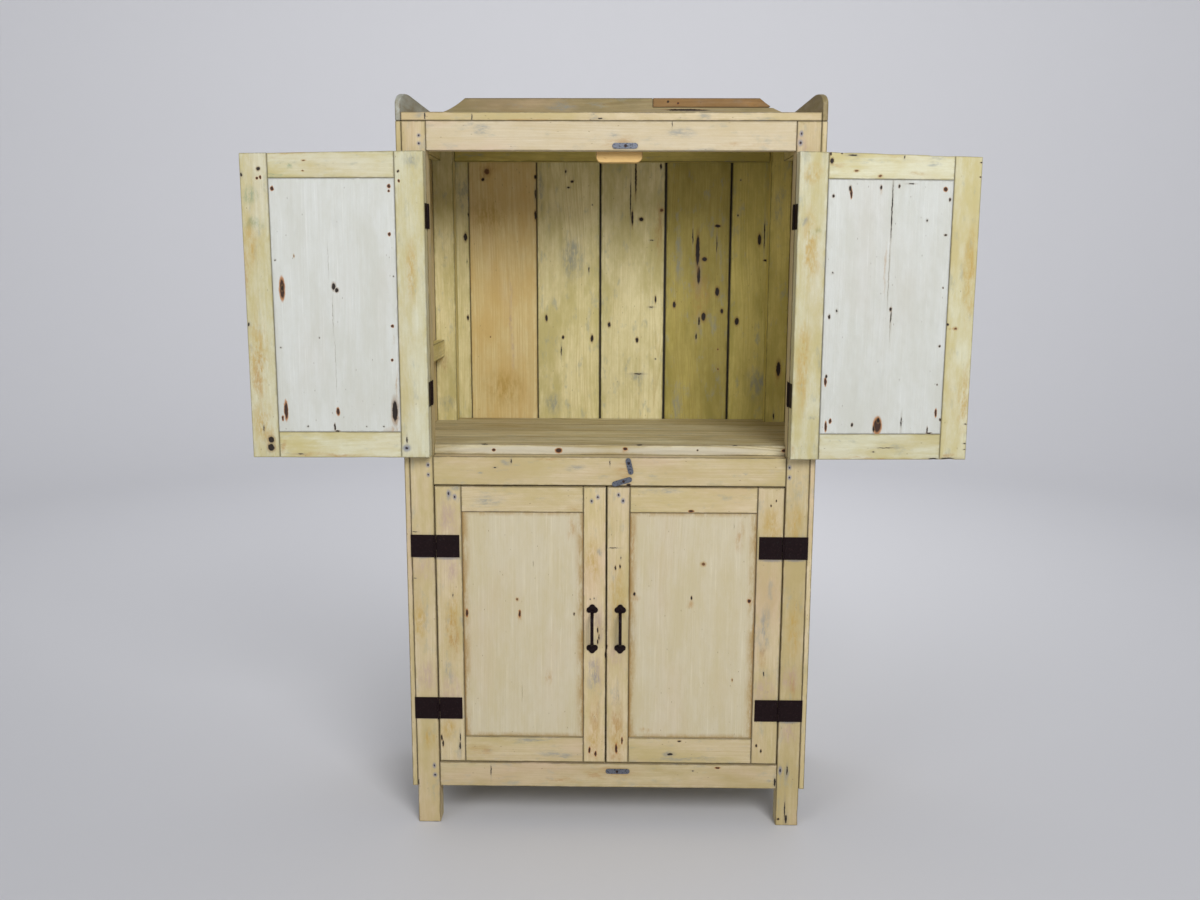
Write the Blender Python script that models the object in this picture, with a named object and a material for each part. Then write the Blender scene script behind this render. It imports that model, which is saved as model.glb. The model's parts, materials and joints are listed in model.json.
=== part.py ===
"""Two-tier wooden cupboard with two pairs of framed doors, as an assembly of separate pieces.

Metres, +Z up. The front faces -Y, the floor is z = 0 and x = 0 is the middle of the cupboard. In this
script every depth y is measured back from the front face of the posts, and move_back() adds FRONT_Y.
The upper doors stand open and the lower doors are shut, which is the rest pose.
"""

import math

import bmesh
import bpy
from mathutils import Matrix, Vector

# ---------------------------------------------------------------- driving sizes
WIDTH = 1.000  # over the side boards
DEPTH = 0.481  # front face of the posts to the front of the back boards
FOOT_H = 0.100  # floor to the underside of the bottom rail
BOTTOM_RAIL_H = 0.065
LOWER_OPENING_H = 0.722
MIDDLE_RAIL_H = 0.071
UPPER_OPENING_H = 0.722
TOP_RAIL_H = 0.067
TOP_BOARD_T = 0.020

FIT = 0.0003  # gap between pieces that touch

SIDE_BOARD_T = 0.013
POST_W = 0.057
POST_D = 0.048
REAR_RAIL_T = 0.024
BACK_BOARD_T = 0.012
BACK_BOARD_COUNT = 6
BACK_GROOVE_W = 0.003
BACK_GROOVE_D = 0.004
DECK_T = 0.026
TENON_L = 0.035
TENON_T = 0.012
TENON_FRONT = 0.008  # wood in front of the tenon
TENON_SHOULDER = 0.010

EAR_FRONT_H = 0.018  # above the top board, at the front edge
EAR_H = 0.053
EAR_CURVE_L = 0.130
GALLERY_T = 0.020
GALLERY_H = 0.094
GALLERY_KNEE_IN = 0.087  # from an ear to where the flat top starts
REPAIR_START_X = 0.110
REPAIR_H = 0.024

DOOR_T = 0.028
DOOR_MEET_GAP = 0.0026
DOOR_TOP_GAP = 0.003
DOOR_FOOT_GAP = 0.003
LOWER_MEET_X = -0.006
UPPER_MEET_X = 0.0
PANEL_SET_BACK = 0.004
PANEL_INNER_SET = 0.0006
GROOVE_D = 0.008
GROOVE_W = 0.010
GROOVE_BACK = 0.009  # outer face of the door to the groove
GROOVE_STOP = 0.012
LOWER_STILE_W = {"hinge": 0.0645, "closing": 0.0555}
LOWER_RAIL_H = {"top": 0.0640, "bottom": 0.0670}
UPPER_STILE_W = {"hinge": 0.0680, "closing": 0.0640}
UPPER_RAIL_H = {"top": 0.0610, "bottom": 0.0620}
UPPER_OPEN_DEG = {"left": 180.0, "right": 183.5}

BUTT_GAP = 0.003  # between an upper door's edge and its post
BUTT_PROUD = 0.005  # the pin's axis in front of the front face
BUTT_H = 0.058
BUTT_LEAF_T = 0.0010
BUTT_LEAF_W = 0.026
BUTT_BARREL_R = 0.0035
BUTT_PIN_R = 0.0016
BUTT_FROM_TOP = 0.147  # top of the door to the middle of the upper hinge
BUTT_FROM_FOOT = 0.152

FLAP_GAP = 0.0024
FLAP_PROUD = 0.0035
FLAP_H = 0.0565
FLAP_LEAF_T = 0.0020
FLAP_LEAF_W = 0.060
FLAP_BARREL_R = 0.0028
FLAP_PIN_R = 0.0013
FLAP_FROM_TOP = 0.151
FLAP_FROM_FOOT = 0.143
FLAP_PLATE_LIFT = 0.0004  # behind a flap leaf

KNUCKLE_GAP = 0.0006
PIN_CLEARANCE = 0.0004

HANDLE_H = 0.127
HANDLE_STANDOFF = 0.028  # door face to the middle of the grip
HANDLE_GRIP_W = 0.0080
HANDLE_GRIP_T = 0.0060
HANDLE_GRIP_L = 0.070
HANDLE_PLATE_T = 0.0025
HANDLE_LOBE_R = 0.0075
HANDLE_LOBE_OUT = 0.0068  # middle of the plate to the middle of a lobe
HANDLE_FROM_FOOT = 0.355
HANDLE_INSET = {"left": 0.0335, "right": 0.0335}  # closing edge to the handle's middle

BUTTON_T = 0.0018
BUTTON_W = 0.013
BUTTON_LIFT = 0.0007
BUTTON_BOSS_R = 0.0042
BUTTON_BOSS_T = 0.0014

# Each turn button hangs on one screw. heading is where its long arm points, seen from the front, in
# degrees: 0 is right and 90 is up. All four are turned clear of the doors' paths.
TURN_BUTTONS = {
    "top_rail": {
        "rail": "top", "up_from_foot": 0.0112, "x": 0.0347,
        "long_arm": 0.0310, "short_arm": 0.0285, "heading": 180.0,
    },
    "middle_rail_upper": {
        "rail": "middle", "down_from_head": 0.0145, "x": 0.0474,
        "long_arm": 0.0285, "short_arm": 0.0130, "heading": -76.6,
    },
    "middle_rail_lower": {
        "rail": "middle", "up_from_foot": 0.0115, "x": 0.0348,
        "long_arm": 0.0290, "short_arm": 0.0215, "heading": 197.0,
    },
    "bottom_rail": {
        "rail": "bottom", "down_from_head": 0.0205, "x": 0.0229,
        "long_arm": 0.0322, "short_arm": 0.0290, "heading": 0.0,
    },
}

STOP_W = 0.110
STOP_T = 0.022
STOP_H = 0.060
STOP_DROP = 0.025  # below the top rail
STOP_X = 0.020
STOP_CORNER = 0.012

BEARER_T = 0.024
BEARER_H = 0.046
BEARER_TOP_ABOVE_DECK = 0.225

# ---------------------------------------------------------------- derived places
HALF_W = WIDTH / 2
SIDE_INNER_X = HALF_W - SIDE_BOARD_T
EAR_T = SIDE_BOARD_T  # the ears are the same stock as the side boards that they stand on
POST_OUTER_X = SIDE_INNER_X - FIT
OPENING_X = SIDE_INNER_X - POST_W
BOTTOM_RAIL_Z = (FOOT_H, FOOT_H + BOTTOM_RAIL_H)
LOWER_OPENING_Z = (BOTTOM_RAIL_Z[1], BOTTOM_RAIL_Z[1] + LOWER_OPENING_H)
MIDDLE_RAIL_Z = (LOWER_OPENING_Z[1], LOWER_OPENING_Z[1] + MIDDLE_RAIL_H)
UPPER_OPENING_Z = (MIDDLE_RAIL_Z[1], MIDDLE_RAIL_Z[1] + UPPER_OPENING_H)
TOP_RAIL_Z = (UPPER_OPENING_Z[1], UPPER_OPENING_Z[1] + TOP_RAIL_H)
RAILS = {"bottom": BOTTOM_RAIL_Z, "middle": MIDDLE_RAIL_Z, "top": TOP_RAIL_Z}
CARCASS_TOP_Z = TOP_RAIL_Z[1]
TOP_BOARD_Z = (CARCASS_TOP_Z + FIT, CARCASS_TOP_Z + TOP_BOARD_T)
REAR_Y = DEPTH + BACK_BOARD_T
DECK_FRONT_Y = DOOR_T + 2 * FIT
DOORS_STAND_OUT = 2 * BUTT_PROUD + DOOR_T
FRONT_Y = -(REAR_Y - DOORS_STAND_OUT) / 2
PIECES = {}


# ---------------------------------------------------------------- materials
def make_material(name, color, roughness, metallic=0.0):
    """A Principled material with the piece's colour from the reference."""
    material = bpy.data.materials.new(name)
    material.use_nodes = True
    shader = material.node_tree.nodes["Principled BSDF"]
    shader.inputs["Base Color"].default_value = (*color, 1.0)
    shader.inputs["Roughness"].default_value = roughness
    shader.inputs["Metallic"].default_value = metallic
    material.diffuse_color = (*color, 1.0)
    return material


def make_materials():
    return {
        "pale_pine": make_material("pale_pine", (0.62, 0.51, 0.33), 0.62),
        "door_panel": make_material("door_panel", (0.70, 0.68, 0.60), 0.60),
        "aged_pine": make_material("aged_pine", (0.30, 0.25, 0.09), 0.70),
        "gallery_pine": make_material("gallery_pine", (0.38, 0.28, 0.14), 0.70),
        "repair_wood": make_material("repair_wood", (0.38, 0.21, 0.09), 0.65),
        "orange_pine": make_material("orange_pine", (0.57, 0.36, 0.13), 0.60),
        "black_iron": make_material("black_iron", (0.018, 0.012, 0.014), 0.50, 0.8),
        "grey_zinc": make_material("grey_zinc", (0.19, 0.20, 0.25), 0.45, 0.9),
    }


# ---------------------------------------------------------------- mesh makers
def finish(name, bm, material, parent=None, smooth=False):
    """Turn a bmesh into a named object with outward faces."""
    bmesh.ops.recalc_face_normals(bm, faces=bm.faces)
    mesh = bpy.data.meshes.new(name)
    bm.to_mesh(mesh)
    bm.free()
    piece = bpy.data.objects.new(name, mesh)
    bpy.context.scene.collection.objects.link(piece)
    mesh.materials.append(MATERIALS[material])
    if smooth:
        mesh.shade_smooth()
        mesh.set_sharp_from_angle(angle=math.radians(35))
    piece.parent = parent
    PIECES[name] = piece
    return piece


def lattice_mesh(xs, ys, zs, solid):
    """One closed mesh of the cells (i, j, k) between the cut lines xs, ys and zs where solid says so."""
    cuts = (xs, ys, zs)
    counts = [len(c) - 1 for c in cuts]
    bm = bmesh.new()
    made = {}

    def corner(index):
        if index not in made:
            made[index] = bm.verts.new([cuts[a][index[a]] for a in range(3)])
        return made[index]

    def is_solid(cell):
        return all(0 <= cell[a] < counts[a] for a in range(3)) and solid(*cell)

    for i in range(counts[0]):
        for j in range(counts[1]):
            for k in range(counts[2]):
                if not solid(i, j, k):
                    continue
                for axis in range(3):
                    for step in (0, 1):
                        beyond = [i, j, k]
                        beyond[axis] += 2 * step - 1
                        if is_solid(tuple(beyond)):
                            continue
                        face = []
                        for u, w in ((0, 0), (1, 0), (1, 1), (0, 1)):
                            index = [i, j, k]
                            index[axis] += step
                            index[(axis + 1) % 3] += u
                            index[(axis + 2) % 3] += w
                            face.append(corner(tuple(index)))
                        bm.faces.new(face if step else face[::-1])
    bmesh.ops.dissolve_limit(bm, angle_limit=0.002, verts=bm.verts, edges=bm.edges)
    return bm


def move_back(bm):
    """From depths measured from the front face to world depths."""
    bmesh.ops.translate(bm, verts=bm.verts, vec=(0, FRONT_Y, 0))


def lattice(name, xs, ys, zs, solid, material):
    """A carcass piece cut from a lattice of cells."""
    bm = lattice_mesh(xs, ys, zs, solid)
    move_back(bm)
    return finish(name, bm, material)


def board(name, x, y, z, material, edge=0.0012):
    """A plain board between pairs of limits, with its edges eased."""
    bm = lattice_mesh(x, y, z, lambda i, j, k: True)
    move_back(bm)
    piece = finish(name, bm, material)
    eased = piece.modifiers.new("eased_edges", "BEVEL")
    eased.width = edge
    eased.segments = 1
    return piece


def extrude_outline(bm, outline, direction):
    """A prism: outline is a list of 3-D points in order, direction the vector that it is extruded by."""
    start = bm.faces.new([bm.verts.new(p) for p in outline])
    grown = bmesh.ops.extrude_face_region(bm, geom=[start])
    moved = [v for v in grown["geom"] if isinstance(v, bmesh.types.BMVert)]
    bmesh.ops.translate(bm, verts=moved, vec=direction)


def arc(middle, radius, start_deg, end_deg, steps):
    """Points along an arc, as (u, v) pairs."""
    points = []
    for n in range(steps + 1):
        angle = math.radians(start_deg + (end_deg - start_deg) * n / steps)
        points.append((middle[0] + radius * math.cos(angle), middle[1] + radius * math.sin(angle)))
    return points


def cylinder(bm, start, end, radius, segments):
    """A round bar from start to end along z."""
    height = end - start
    made = bmesh.ops.create_cone(
        bm, cap_ends=True, segments=segments, radius1=radius, radius2=radius, depth=height
    )
    bmesh.ops.translate(bm, verts=made["verts"], vec=(0, 0, start + height / 2))


# ---------------------------------------------------------------- carcass
def mortise_levels(rail_z):
    return rail_z[0] + TENON_SHOULDER - FIT, rail_z[1] - TENON_SHOULDER + FIT


def make_front_post(side):
    """A post from the floor to the top, with a blind mortise for each rail. side is -1 or 1."""
    name = "front_left_post" if side < 0 else "front_right_post"
    levels = [0.0]
    for rail_z in (BOTTOM_RAIL_Z, MIDDLE_RAIL_Z, TOP_RAIL_Z):
        levels += mortise_levels(rail_z)
    levels.append(CARCASS_TOP_Z)
    inner = OPENING_X
    bottom_of_mortise = inner + TENON_L + FIT
    xs = sorted(side * x for x in (inner, bottom_of_mortise, POST_OUTER_X))
    open_column = 1 if side < 0 else 0
    ys = (0.0, TENON_FRONT - FIT, TENON_FRONT + TENON_T + FIT, POST_D)

    def solid(i, j, k):
        return not (i == open_column and j == 1 and k % 2 == 1)

    return lattice(name, xs, ys, levels, solid, "pale_pine")


def make_front_rail(name, rail_z, depth):
    """A rail between the posts with a tenon at each end."""
    shoulder = OPENING_X - FIT
    tip = OPENING_X + TENON_L
    xs = (-tip, -shoulder, shoulder, tip)
    ys = (0.0, TENON_FRONT, TENON_FRONT + TENON_T, depth)
    zs = (rail_z[0], rail_z[0] + TENON_SHOULDER, rail_z[1] - TENON_SHOULDER, rail_z[1])

    def solid(i, j, k):
        return i == 1 or (j == 1 and k == 1)

    return lattice(name, xs, ys, zs, solid, "pale_pine")


def make_rear_frame():
    """Two back posts, three back rails and the side rails that run forward to the front posts."""
    outer = POST_OUTER_X
    rail_face = outer - REAR_RAIL_T
    xs = (-outer, -rail_face, -OPENING_X, OPENING_X, rail_face, outer)
    ys = (POST_D + FIT, DEPTH - POST_D, DEPTH - REAR_RAIL_T, DEPTH - FIT)
    top_rail_foot = CARCASS_TOP_Z - TOP_RAIL_H + STOP_CORNER
    zs = (0.0, *BOTTOM_RAIL_Z, *MIDDLE_RAIL_Z, top_rail_foot, CARCASS_TOP_Z)
    rail_rows = (1, 3, 5)

    def solid(i, j, k):
        post = i != 2 and j > 0
        back_rail = i == 2 and j == 2 and k in rail_rows
        side_rail = i in (0, 4) and j == 0 and k in rail_rows
        return post or back_rail or side_rail

    return lattice("rear_frame", xs, ys, zs, solid, "aged_pine")


def make_side_boards():
    for name, side in (("left_side_board", -1), ("right_side_board", 1)):
        xs = sorted((side * SIDE_INNER_X, side * HALF_W))
        board(name, xs, (0.0, DEPTH - FIT), (FOOT_H, CARCASS_TOP_Z), "pale_pine")


def make_back_boards():
    """The tongue-and-groove back as one panel, with a groove on its front at each joint."""
    pitch = WIDTH / BACK_BOARD_COUNT
    xs = [-HALF_W]
    for n in range(1, BACK_BOARD_COUNT):
        joint = -HALF_W + n * pitch
        xs += [joint - BACK_GROOVE_W / 2, joint + BACK_GROOVE_W / 2]
    xs.append(HALF_W)
    ys = (DEPTH, DEPTH + BACK_GROOVE_D, REAR_Y)
    zs = (FOOT_H, CARCASS_TOP_Z)

    def solid(i, j, k):
        return not (i % 2 == 1 and j == 0)

    lattice("back_boards", xs, ys, zs, solid, "aged_pine")


def make_deck(name, top_of_rail):
    """A deck on the rails, notched round the four posts. Its front edge is the doors' stop."""
    wall = POST_OUTER_X
    notch = OPENING_X - FIT
    xs = (-wall, -notch, notch, wall)
    ys = (DECK_FRONT_Y, POST_D + FIT, DEPTH - POST_D - FIT, DEPTH - FIT)
    zs = (top_of_rail + FIT, top_of_rail + DECK_T)

    def solid(i, j, k):
        return i == 1 or j == 1

    return lattice(name, xs, ys, zs, solid, "aged_pine")


def make_ear(name, side):
    """A side gallery board with a rounded front."""
    foot = CARCASS_TOP_Z + FIT
    base = TOP_BOARD_Z[1]
    outline = [(0.0, foot), (0.0, base + EAR_FRONT_H)]
    for n in range(1, 9):
        turn = math.radians(90 * n / 8)
        rise = (EAR_H - EAR_FRONT_H) * math.sin(turn)
        outline.append((EAR_CURVE_L * (1 - math.cos(turn)), base + EAR_FRONT_H + rise))
    outline += [(REAR_Y, base + EAR_H), (REAR_Y, foot)]
    inner = side * (HALF_W - EAR_T)
    bm = bmesh.new()
    extrude_outline(bm, [(inner, y, z) for y, z in outline], (side * EAR_T, 0, 0))
    move_back(bm)
    return finish(name, bm, "gallery_pine")


def gallery_edge_z(x):
    """Height of the gallery's top edge: flat, with a hollow curve down to each ear."""
    base = TOP_BOARD_Z[1]
    inside = HALF_W - EAR_T - abs(x)
    part = min(max(inside / GALLERY_KNEE_IN, 0.0), 1.0)
    return base + EAR_H + (GALLERY_H - EAR_H) * part**1.8


def make_gallery():
    """The back gallery board, and the strip let into its right-hand top edge."""
    foot = TOP_BOARD_Z[1] + FIT
    end = HALF_W - EAR_T - FIT
    knee = HALF_W - EAR_T - GALLERY_KNEE_IN
    cut_z = TOP_BOARD_Z[1] + GALLERY_H - REPAIR_H
    curve = [end - (end - knee) * n / 8 for n in range(9)]
    repair_end = max(x for x in curve if gallery_edge_z(x) > cut_z + 4 * FIT)
    left = [(-x, gallery_edge_z(x)) for x in curve]
    notch = [
        (REPAIR_START_X - FIT, gallery_edge_z(0)),
        (REPAIR_START_X - FIT, cut_z - FIT),
        (repair_end + FIT, cut_z - FIT),
    ]
    right = [(x, gallery_edge_z(x)) for x in curve[::-1] if gallery_edge_z(x) < cut_z - FIT]
    outline = [(-end, foot), *left, *notch, *right, (end, foot)]
    for name, points, material in (
        ("gallery_back", outline, "gallery_pine"),
        ("gallery_repair_strip", repair_outline(curve, cut_z, repair_end), "repair_wood"),
    ):
        bm = bmesh.new()
        extrude_outline(bm, [(x, REAR_Y - GALLERY_T, z) for x, z in points], (0, GALLERY_T, 0))
        move_back(bm)
        finish(name, bm, material)


def repair_outline(curve, cut_z, repair_end):
    """The strip's outline: flat foot, and the gallery's own curve at its right end."""
    edge = [(x, gallery_edge_z(x)) for x in curve[::-1] if x <= repair_end]
    return [(REPAIR_START_X, cut_z), (REPAIR_START_X, gallery_edge_z(0)), *edge, (repair_end, cut_z)]


def make_stop_block():
    """The block behind the top rail that the upper doors close against, with slanted lower corners."""
    low = TOP_RAIL_Z[0] - STOP_DROP
    high = low + STOP_H
    half = STOP_W / 2
    outline = [
        (-half, high),
        (-half, low + STOP_CORNER),
        (-half + STOP_CORNER, low),
        (half - STOP_CORNER, low),
        (half, low + STOP_CORNER),
        (half, high),
    ]
    bm = bmesh.new()
    front = DOOR_T + 2 * FIT
    extrude_outline(bm, [(STOP_X + x, front, z) for x, z in outline], (0, STOP_T, 0))
    move_back(bm)
    return finish("door_stop_block", bm, "orange_pine")


def make_carcass():
    for side in (-1, 1):
        make_front_post(side)
    make_front_rail("bottom_rail", BOTTOM_RAIL_Z, POST_D)
    make_front_rail("middle_rail", MIDDLE_RAIL_Z, POST_D)
    make_front_rail("top_rail", TOP_RAIL_Z, DOOR_T)
    make_rear_frame()
    make_side_boards()
    make_back_boards()
    make_deck("floor_deck", BOTTOM_RAIL_Z[1])
    make_deck("shelf_deck", MIDDLE_RAIL_Z[1])
    inner = HALF_W - EAR_T - FIT
    board("top_board", (-inner, inner), (0.0, REAR_Y), TOP_BOARD_Z, "pale_pine")
    make_ear("left_ear", -1)
    make_ear("right_ear", 1)
    make_gallery()
    make_stop_block()
    bearer_top = MIDDLE_RAIL_Z[1] + DECK_T + BEARER_TOP_ABOVE_DECK
    board(
        "left_shelf_bearer",
        (-POST_OUTER_X, -POST_OUTER_X + BEARER_T),
        (POST_D + FIT, DEPTH - POST_D - FIT),
        (bearer_top - BEARER_H, bearer_top),
        "aged_pine",
    )


# ---------------------------------------------------------------- hinges
class HingeKind:
    """The sizes of one kind of hinge, written once and used by both of its leaves."""

    def __init__(self, gap, proud, height, leaf_t, leaf_w, barrel_r, pin_r, on_face):
        self.gap = gap
        self.proud = proud
        self.height = height
        self.leaf_t = leaf_t
        self.leaf_w = leaf_w
        self.barrel_r = barrel_r
        self.pin_r = pin_r
        self.on_face = on_face

    def knuckle_levels(self):
        """The middle knuckle's lowest and highest z, measured from the hinge's middle."""
        third = self.height / 6
        return -third, third


BUTT = HingeKind(
    BUTT_GAP, BUTT_PROUD, BUTT_H, BUTT_LEAF_T, BUTT_LEAF_W, BUTT_BARREL_R, BUTT_PIN_R, False
)
FLAP = HingeKind(
    FLAP_GAP, FLAP_PROUD, FLAP_H, FLAP_LEAF_T, FLAP_LEAF_W, FLAP_BARREL_R, FLAP_PIN_R, True
)


def leaf_section(kind, toward):
    """The leaf plate's limits in x and y from the pin, for the side of the pin given by toward, -1 or 1."""
    if kind.on_face:
        near = kind.barrel_r + KNUCKLE_GAP
        x = sorted((toward * near, toward * kind.leaf_w))
        back = kind.proud - FLAP_PLATE_LIFT
        return x, (back - kind.leaf_t, back)
    face = toward * (kind.gap / 2 - FIT)
    x = sorted((face, face - toward * kind.leaf_t))
    return x, (kind.barrel_r + KNUCKLE_GAP, kind.proud + kind.leaf_w)


def tongue_section(kind, toward):
    """The part of the leaf that reaches from its plate into its knuckle."""
    (x0, x1), (y0, y1) = leaf_section(kind, toward)
    inside = kind.barrel_r * 0.5
    if kind.on_face:
        return sorted((toward * inside, toward * (abs(min(x0, x1, key=abs)) + 0.001))), (y0, y1)
    return (x0, x1), (inside, y0 + 0.001)


def add_box(bm, x, y, z):
    made = bmesh.ops.create_cube(bm, size=1.0)
    size = Matrix.Diagonal((x[1] - x[0], y[1] - y[0], z[1] - z[0], 1.0))
    middle = Matrix.Translation(((x[0] + x[1]) / 2, (y[0] + y[1]) / 2, (z[0] + z[1]) / 2))
    bmesh.ops.transform(bm, matrix=middle @ size, verts=made["verts"])


def union(name, meshes, material, parent, cutter=None):
    """Join closed meshes into one solid with the EXACT Boolean, and cut a bore if there is a cutter."""
    piece = finish(name, meshes[0], material, parent)
    helpers = [(part, "UNION") for part in meshes[1:]]
    if cutter is not None:
        helpers.append((cutter, "DIFFERENCE"))
    for number, (part, operation) in enumerate(helpers):
        helper = finish(f"{name}_helper_{number}", part, material, parent)
        del PIECES[helper.name]
        helper.hide_render = True
        helper.display_type = "WIRE"
        step = piece.modifiers.new(f"{operation.lower()}_{number}", "BOOLEAN")
        step.operation = operation
        step.object = helper
    return piece


def plate_mesh(kind, toward, z):
    bm = bmesh.new()
    x, y = leaf_section(kind, toward)
    add_box(bm, x, y, z)
    return bm


def tongue_mesh(kind, toward, z):
    bm = bmesh.new()
    x, y = tongue_section(kind, toward)
    add_box(bm, x, y, z)
    return bm


def barrel_mesh(radius, z):
    bm = bmesh.new()
    cylinder(bm, z[0], z[1], radius, 20)
    return bm


def make_hinge(name, kind, door, middle_z):
    """Both leaves. The carcass leaf holds the outer knuckles and the pin, the door leaf the middle one."""
    half = kind.height / 2
    low, high = kind.knuckle_levels()
    fixed_z = ((-half, low - KNUCKLE_GAP / 2), (high + KNUCKLE_GAP / 2, half))
    moving_z = (low + KNUCKLE_GAP / 2, high - KNUCKLE_GAP / 2)
    away = -door.inward
    meshes = [plate_mesh(kind, away, (-half, half)), barrel_mesh(kind.pin_r, (-half, half))]
    meshes += [barrel_mesh(kind.barrel_r, z) for z in fixed_z]
    meshes += [tongue_mesh(kind, away, z) for z in fixed_z]
    at_hinge = bpy.data.objects.new(name + "_place", None)
    at_hinge.location = (door.pin_x, FRONT_Y - kind.proud, middle_z)
    bpy.context.scene.collection.objects.link(at_hinge)
    union(name + "_carcass_leaf", meshes, "black_iron", at_hinge)

    lifted = middle_z - door.foot_z
    meshes = [plate_mesh(kind, door.inward, (-half, half)), barrel_mesh(kind.barrel_r, moving_z)]
    meshes.append(tongue_mesh(kind, door.inward, moving_z))
    bore = barrel_mesh(kind.pin_r + PIN_CLEARANCE, (-half, half))
    for bm in (*meshes, bore):
        bmesh.ops.translate(bm, verts=bm.verts, vec=(0, 0, lifted))
    union(name + "_door_leaf", meshes, "black_iron", door.pivot, bore)


# ---------------------------------------------------------------- doors
class Door:
    """One door. Its pivot empty stands on the hinge axis at the door's foot and carries every door piece.

    Pieces are made shut, with a the distance from the pin along the door, y the depth behind the pin and
    z the height above the door's foot. The pivot is then turned by open_deg.
    """

    def __init__(self, name, side, kind, opening_z, meet_x, stile_w, rail_h, open_deg):
        self.name = name
        self.inward = -side
        self.kind = kind
        self.stile_w = stile_w
        self.rail_h = rail_h
        self.pin_x = side * (OPENING_X - kind.gap / 2)
        self.near = kind.gap / 2
        self.far = abs(meet_x - self.pin_x) - DOOR_MEET_GAP / 2
        self.foot_z = opening_z[0] + DOOR_FOOT_GAP
        self.height = opening_z[1] - DOOR_TOP_GAP - self.foot_z
        self.face = kind.proud
        self.pivot = bpy.data.objects.new(name + "_pivot", None)
        self.pivot.location = (self.pin_x, FRONT_Y - kind.proud, self.foot_z)
        self.pivot.rotation_euler.z = side * math.radians(open_deg)
        bpy.context.scene.collection.objects.link(self.pivot)

    def piece(self, part, along, depth, up, solid, material):
        """A lattice piece of this door, with along measured from the pin."""
        bm = lattice_mesh(along, [self.face + y for y in depth], up, solid)
        bmesh.ops.scale(bm, vec=(self.inward, 1, 1), verts=bm.verts)
        return finish(f"{self.name}_{part}", bm, material, self.pivot)

    def make_stile(self, end, material):
        """An upright with a stopped groove along its inner edge."""
        if end == "hinge":
            edge = self.near + self.stile_w[end]
            along = (self.near, edge - GROOVE_D, edge)
            grooved = 1
        else:
            edge = self.far - self.stile_w[end]
            along = (edge, edge + GROOVE_D, self.far)
            grooved = 0
        depth = (0.0, GROOVE_BACK, GROOVE_BACK + GROOVE_W, DOOR_T)
        up = (0.0, GROOVE_STOP, self.height - GROOVE_STOP, self.height)

        def solid(i, j, k):
            return not (i == grooved and j == 1 and k == 1)

        self.piece(end + "_stile", along, depth, up, solid, material)

    def make_rail(self, end, material):
        """A cross member between the stiles: a stub tenon at each end, and the panel's groove."""
        left = self.near + self.stile_w["hinge"]
        right = self.far - self.stile_w["closing"]
        tongue = GROOVE_D - FIT
        along = (left - tongue, left + FIT, right - FIT, right + tongue)
        low = GROOVE_BACK
        high = GROOVE_BACK + GROOVE_W
        depth = (0.0, low, low + FIT, high - FIT, high, DOOR_T)
        rail_h = self.rail_h[end]
        stop = GROOVE_STOP + FIT
        if end == "bottom":
            up = (0.0, stop, rail_h - GROOVE_D, rail_h)
            groove_row = 2
        else:
            top = self.height
            up = (top - rail_h, top - rail_h + GROOVE_D, top - stop, top)
            groove_row = 0

        def solid(i, j, k):
            if i == 1:
                return not (k == groove_row and 1 <= j <= 3)
            return j == 2 and k == 1

        self.piece(end + "_rail", along, depth, up, solid, material)

    def make_panel(self, material):
        """The panel fills the frame, a little behind its outer face, with a tongue all round."""
        left = self.near + self.stile_w["hinge"]
        right = self.far - self.stile_w["closing"]
        tongue = GROOVE_D - FIT
        along = (left - tongue, left + FIT, right - FIT, right + tongue)
        depth = (PANEL_SET_BACK, GROOVE_BACK + FIT, GROOVE_BACK + GROOVE_W - FIT, DOOR_T - PANEL_INNER_SET)
        foot = self.rail_h["bottom"]
        head = self.height - self.rail_h["top"]
        up = (foot - tongue, foot + FIT, head - FIT, head + tongue)

        def solid(i, j, k):
            return j == 1 or (i == 1 and k == 1)

        self.piece("panel", along, depth, up, solid, material)

    def make(self, frame_material, panel_material):
        for end in ("hinge", "closing"):
            self.make_stile(end, frame_material)
        for end in ("top", "bottom"):
            self.make_rail(end, frame_material)
        self.make_panel(panel_material)


def make_pull_handle(name, door, inset):
    """A bow handle: two clover plates joined by a grip that stands off the door."""
    middle_a = door.far - inset
    half = HANDLE_H / 2
    plate_back = door.face - FIT
    plate_z = half - HANDLE_LOBE_OUT - HANDLE_LOBE_R
    meshes = []
    for sign in (1, -1):
        plate = bmesh.new()
        outline = clover_outline(sign, plate_z)
        points = [(door.inward * middle_a + x, plate_back - HANDLE_PLATE_T, z) for x, z in outline]
        extrude_outline(plate, points, (0, HANDLE_PLATE_T, 0))
        meshes.append(plate)
    meshes.insert(0, bow_mesh(door.inward * middle_a, plate_back, plate_z))
    for bm in meshes:
        bmesh.ops.translate(bm, verts=bm.verts, vec=(0, 0, HANDLE_FROM_FOOT))
    union(name, meshes, "black_iron", door.pivot)


def clover_outline(sign, plate_z):
    """Three round lobes: one to each side and one pointing away from the grip."""
    points = []
    for turn in (0, 90, 180):
        heading = math.radians(turn)
        middle = (HANDLE_LOBE_OUT * math.cos(heading), HANDLE_LOBE_OUT * math.sin(heading))
        points += arc(middle, HANDLE_LOBE_R, turn - 70, turn + 70, 8)
    return [(x, sign * (plate_z + z)) for x, z in points]


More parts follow.
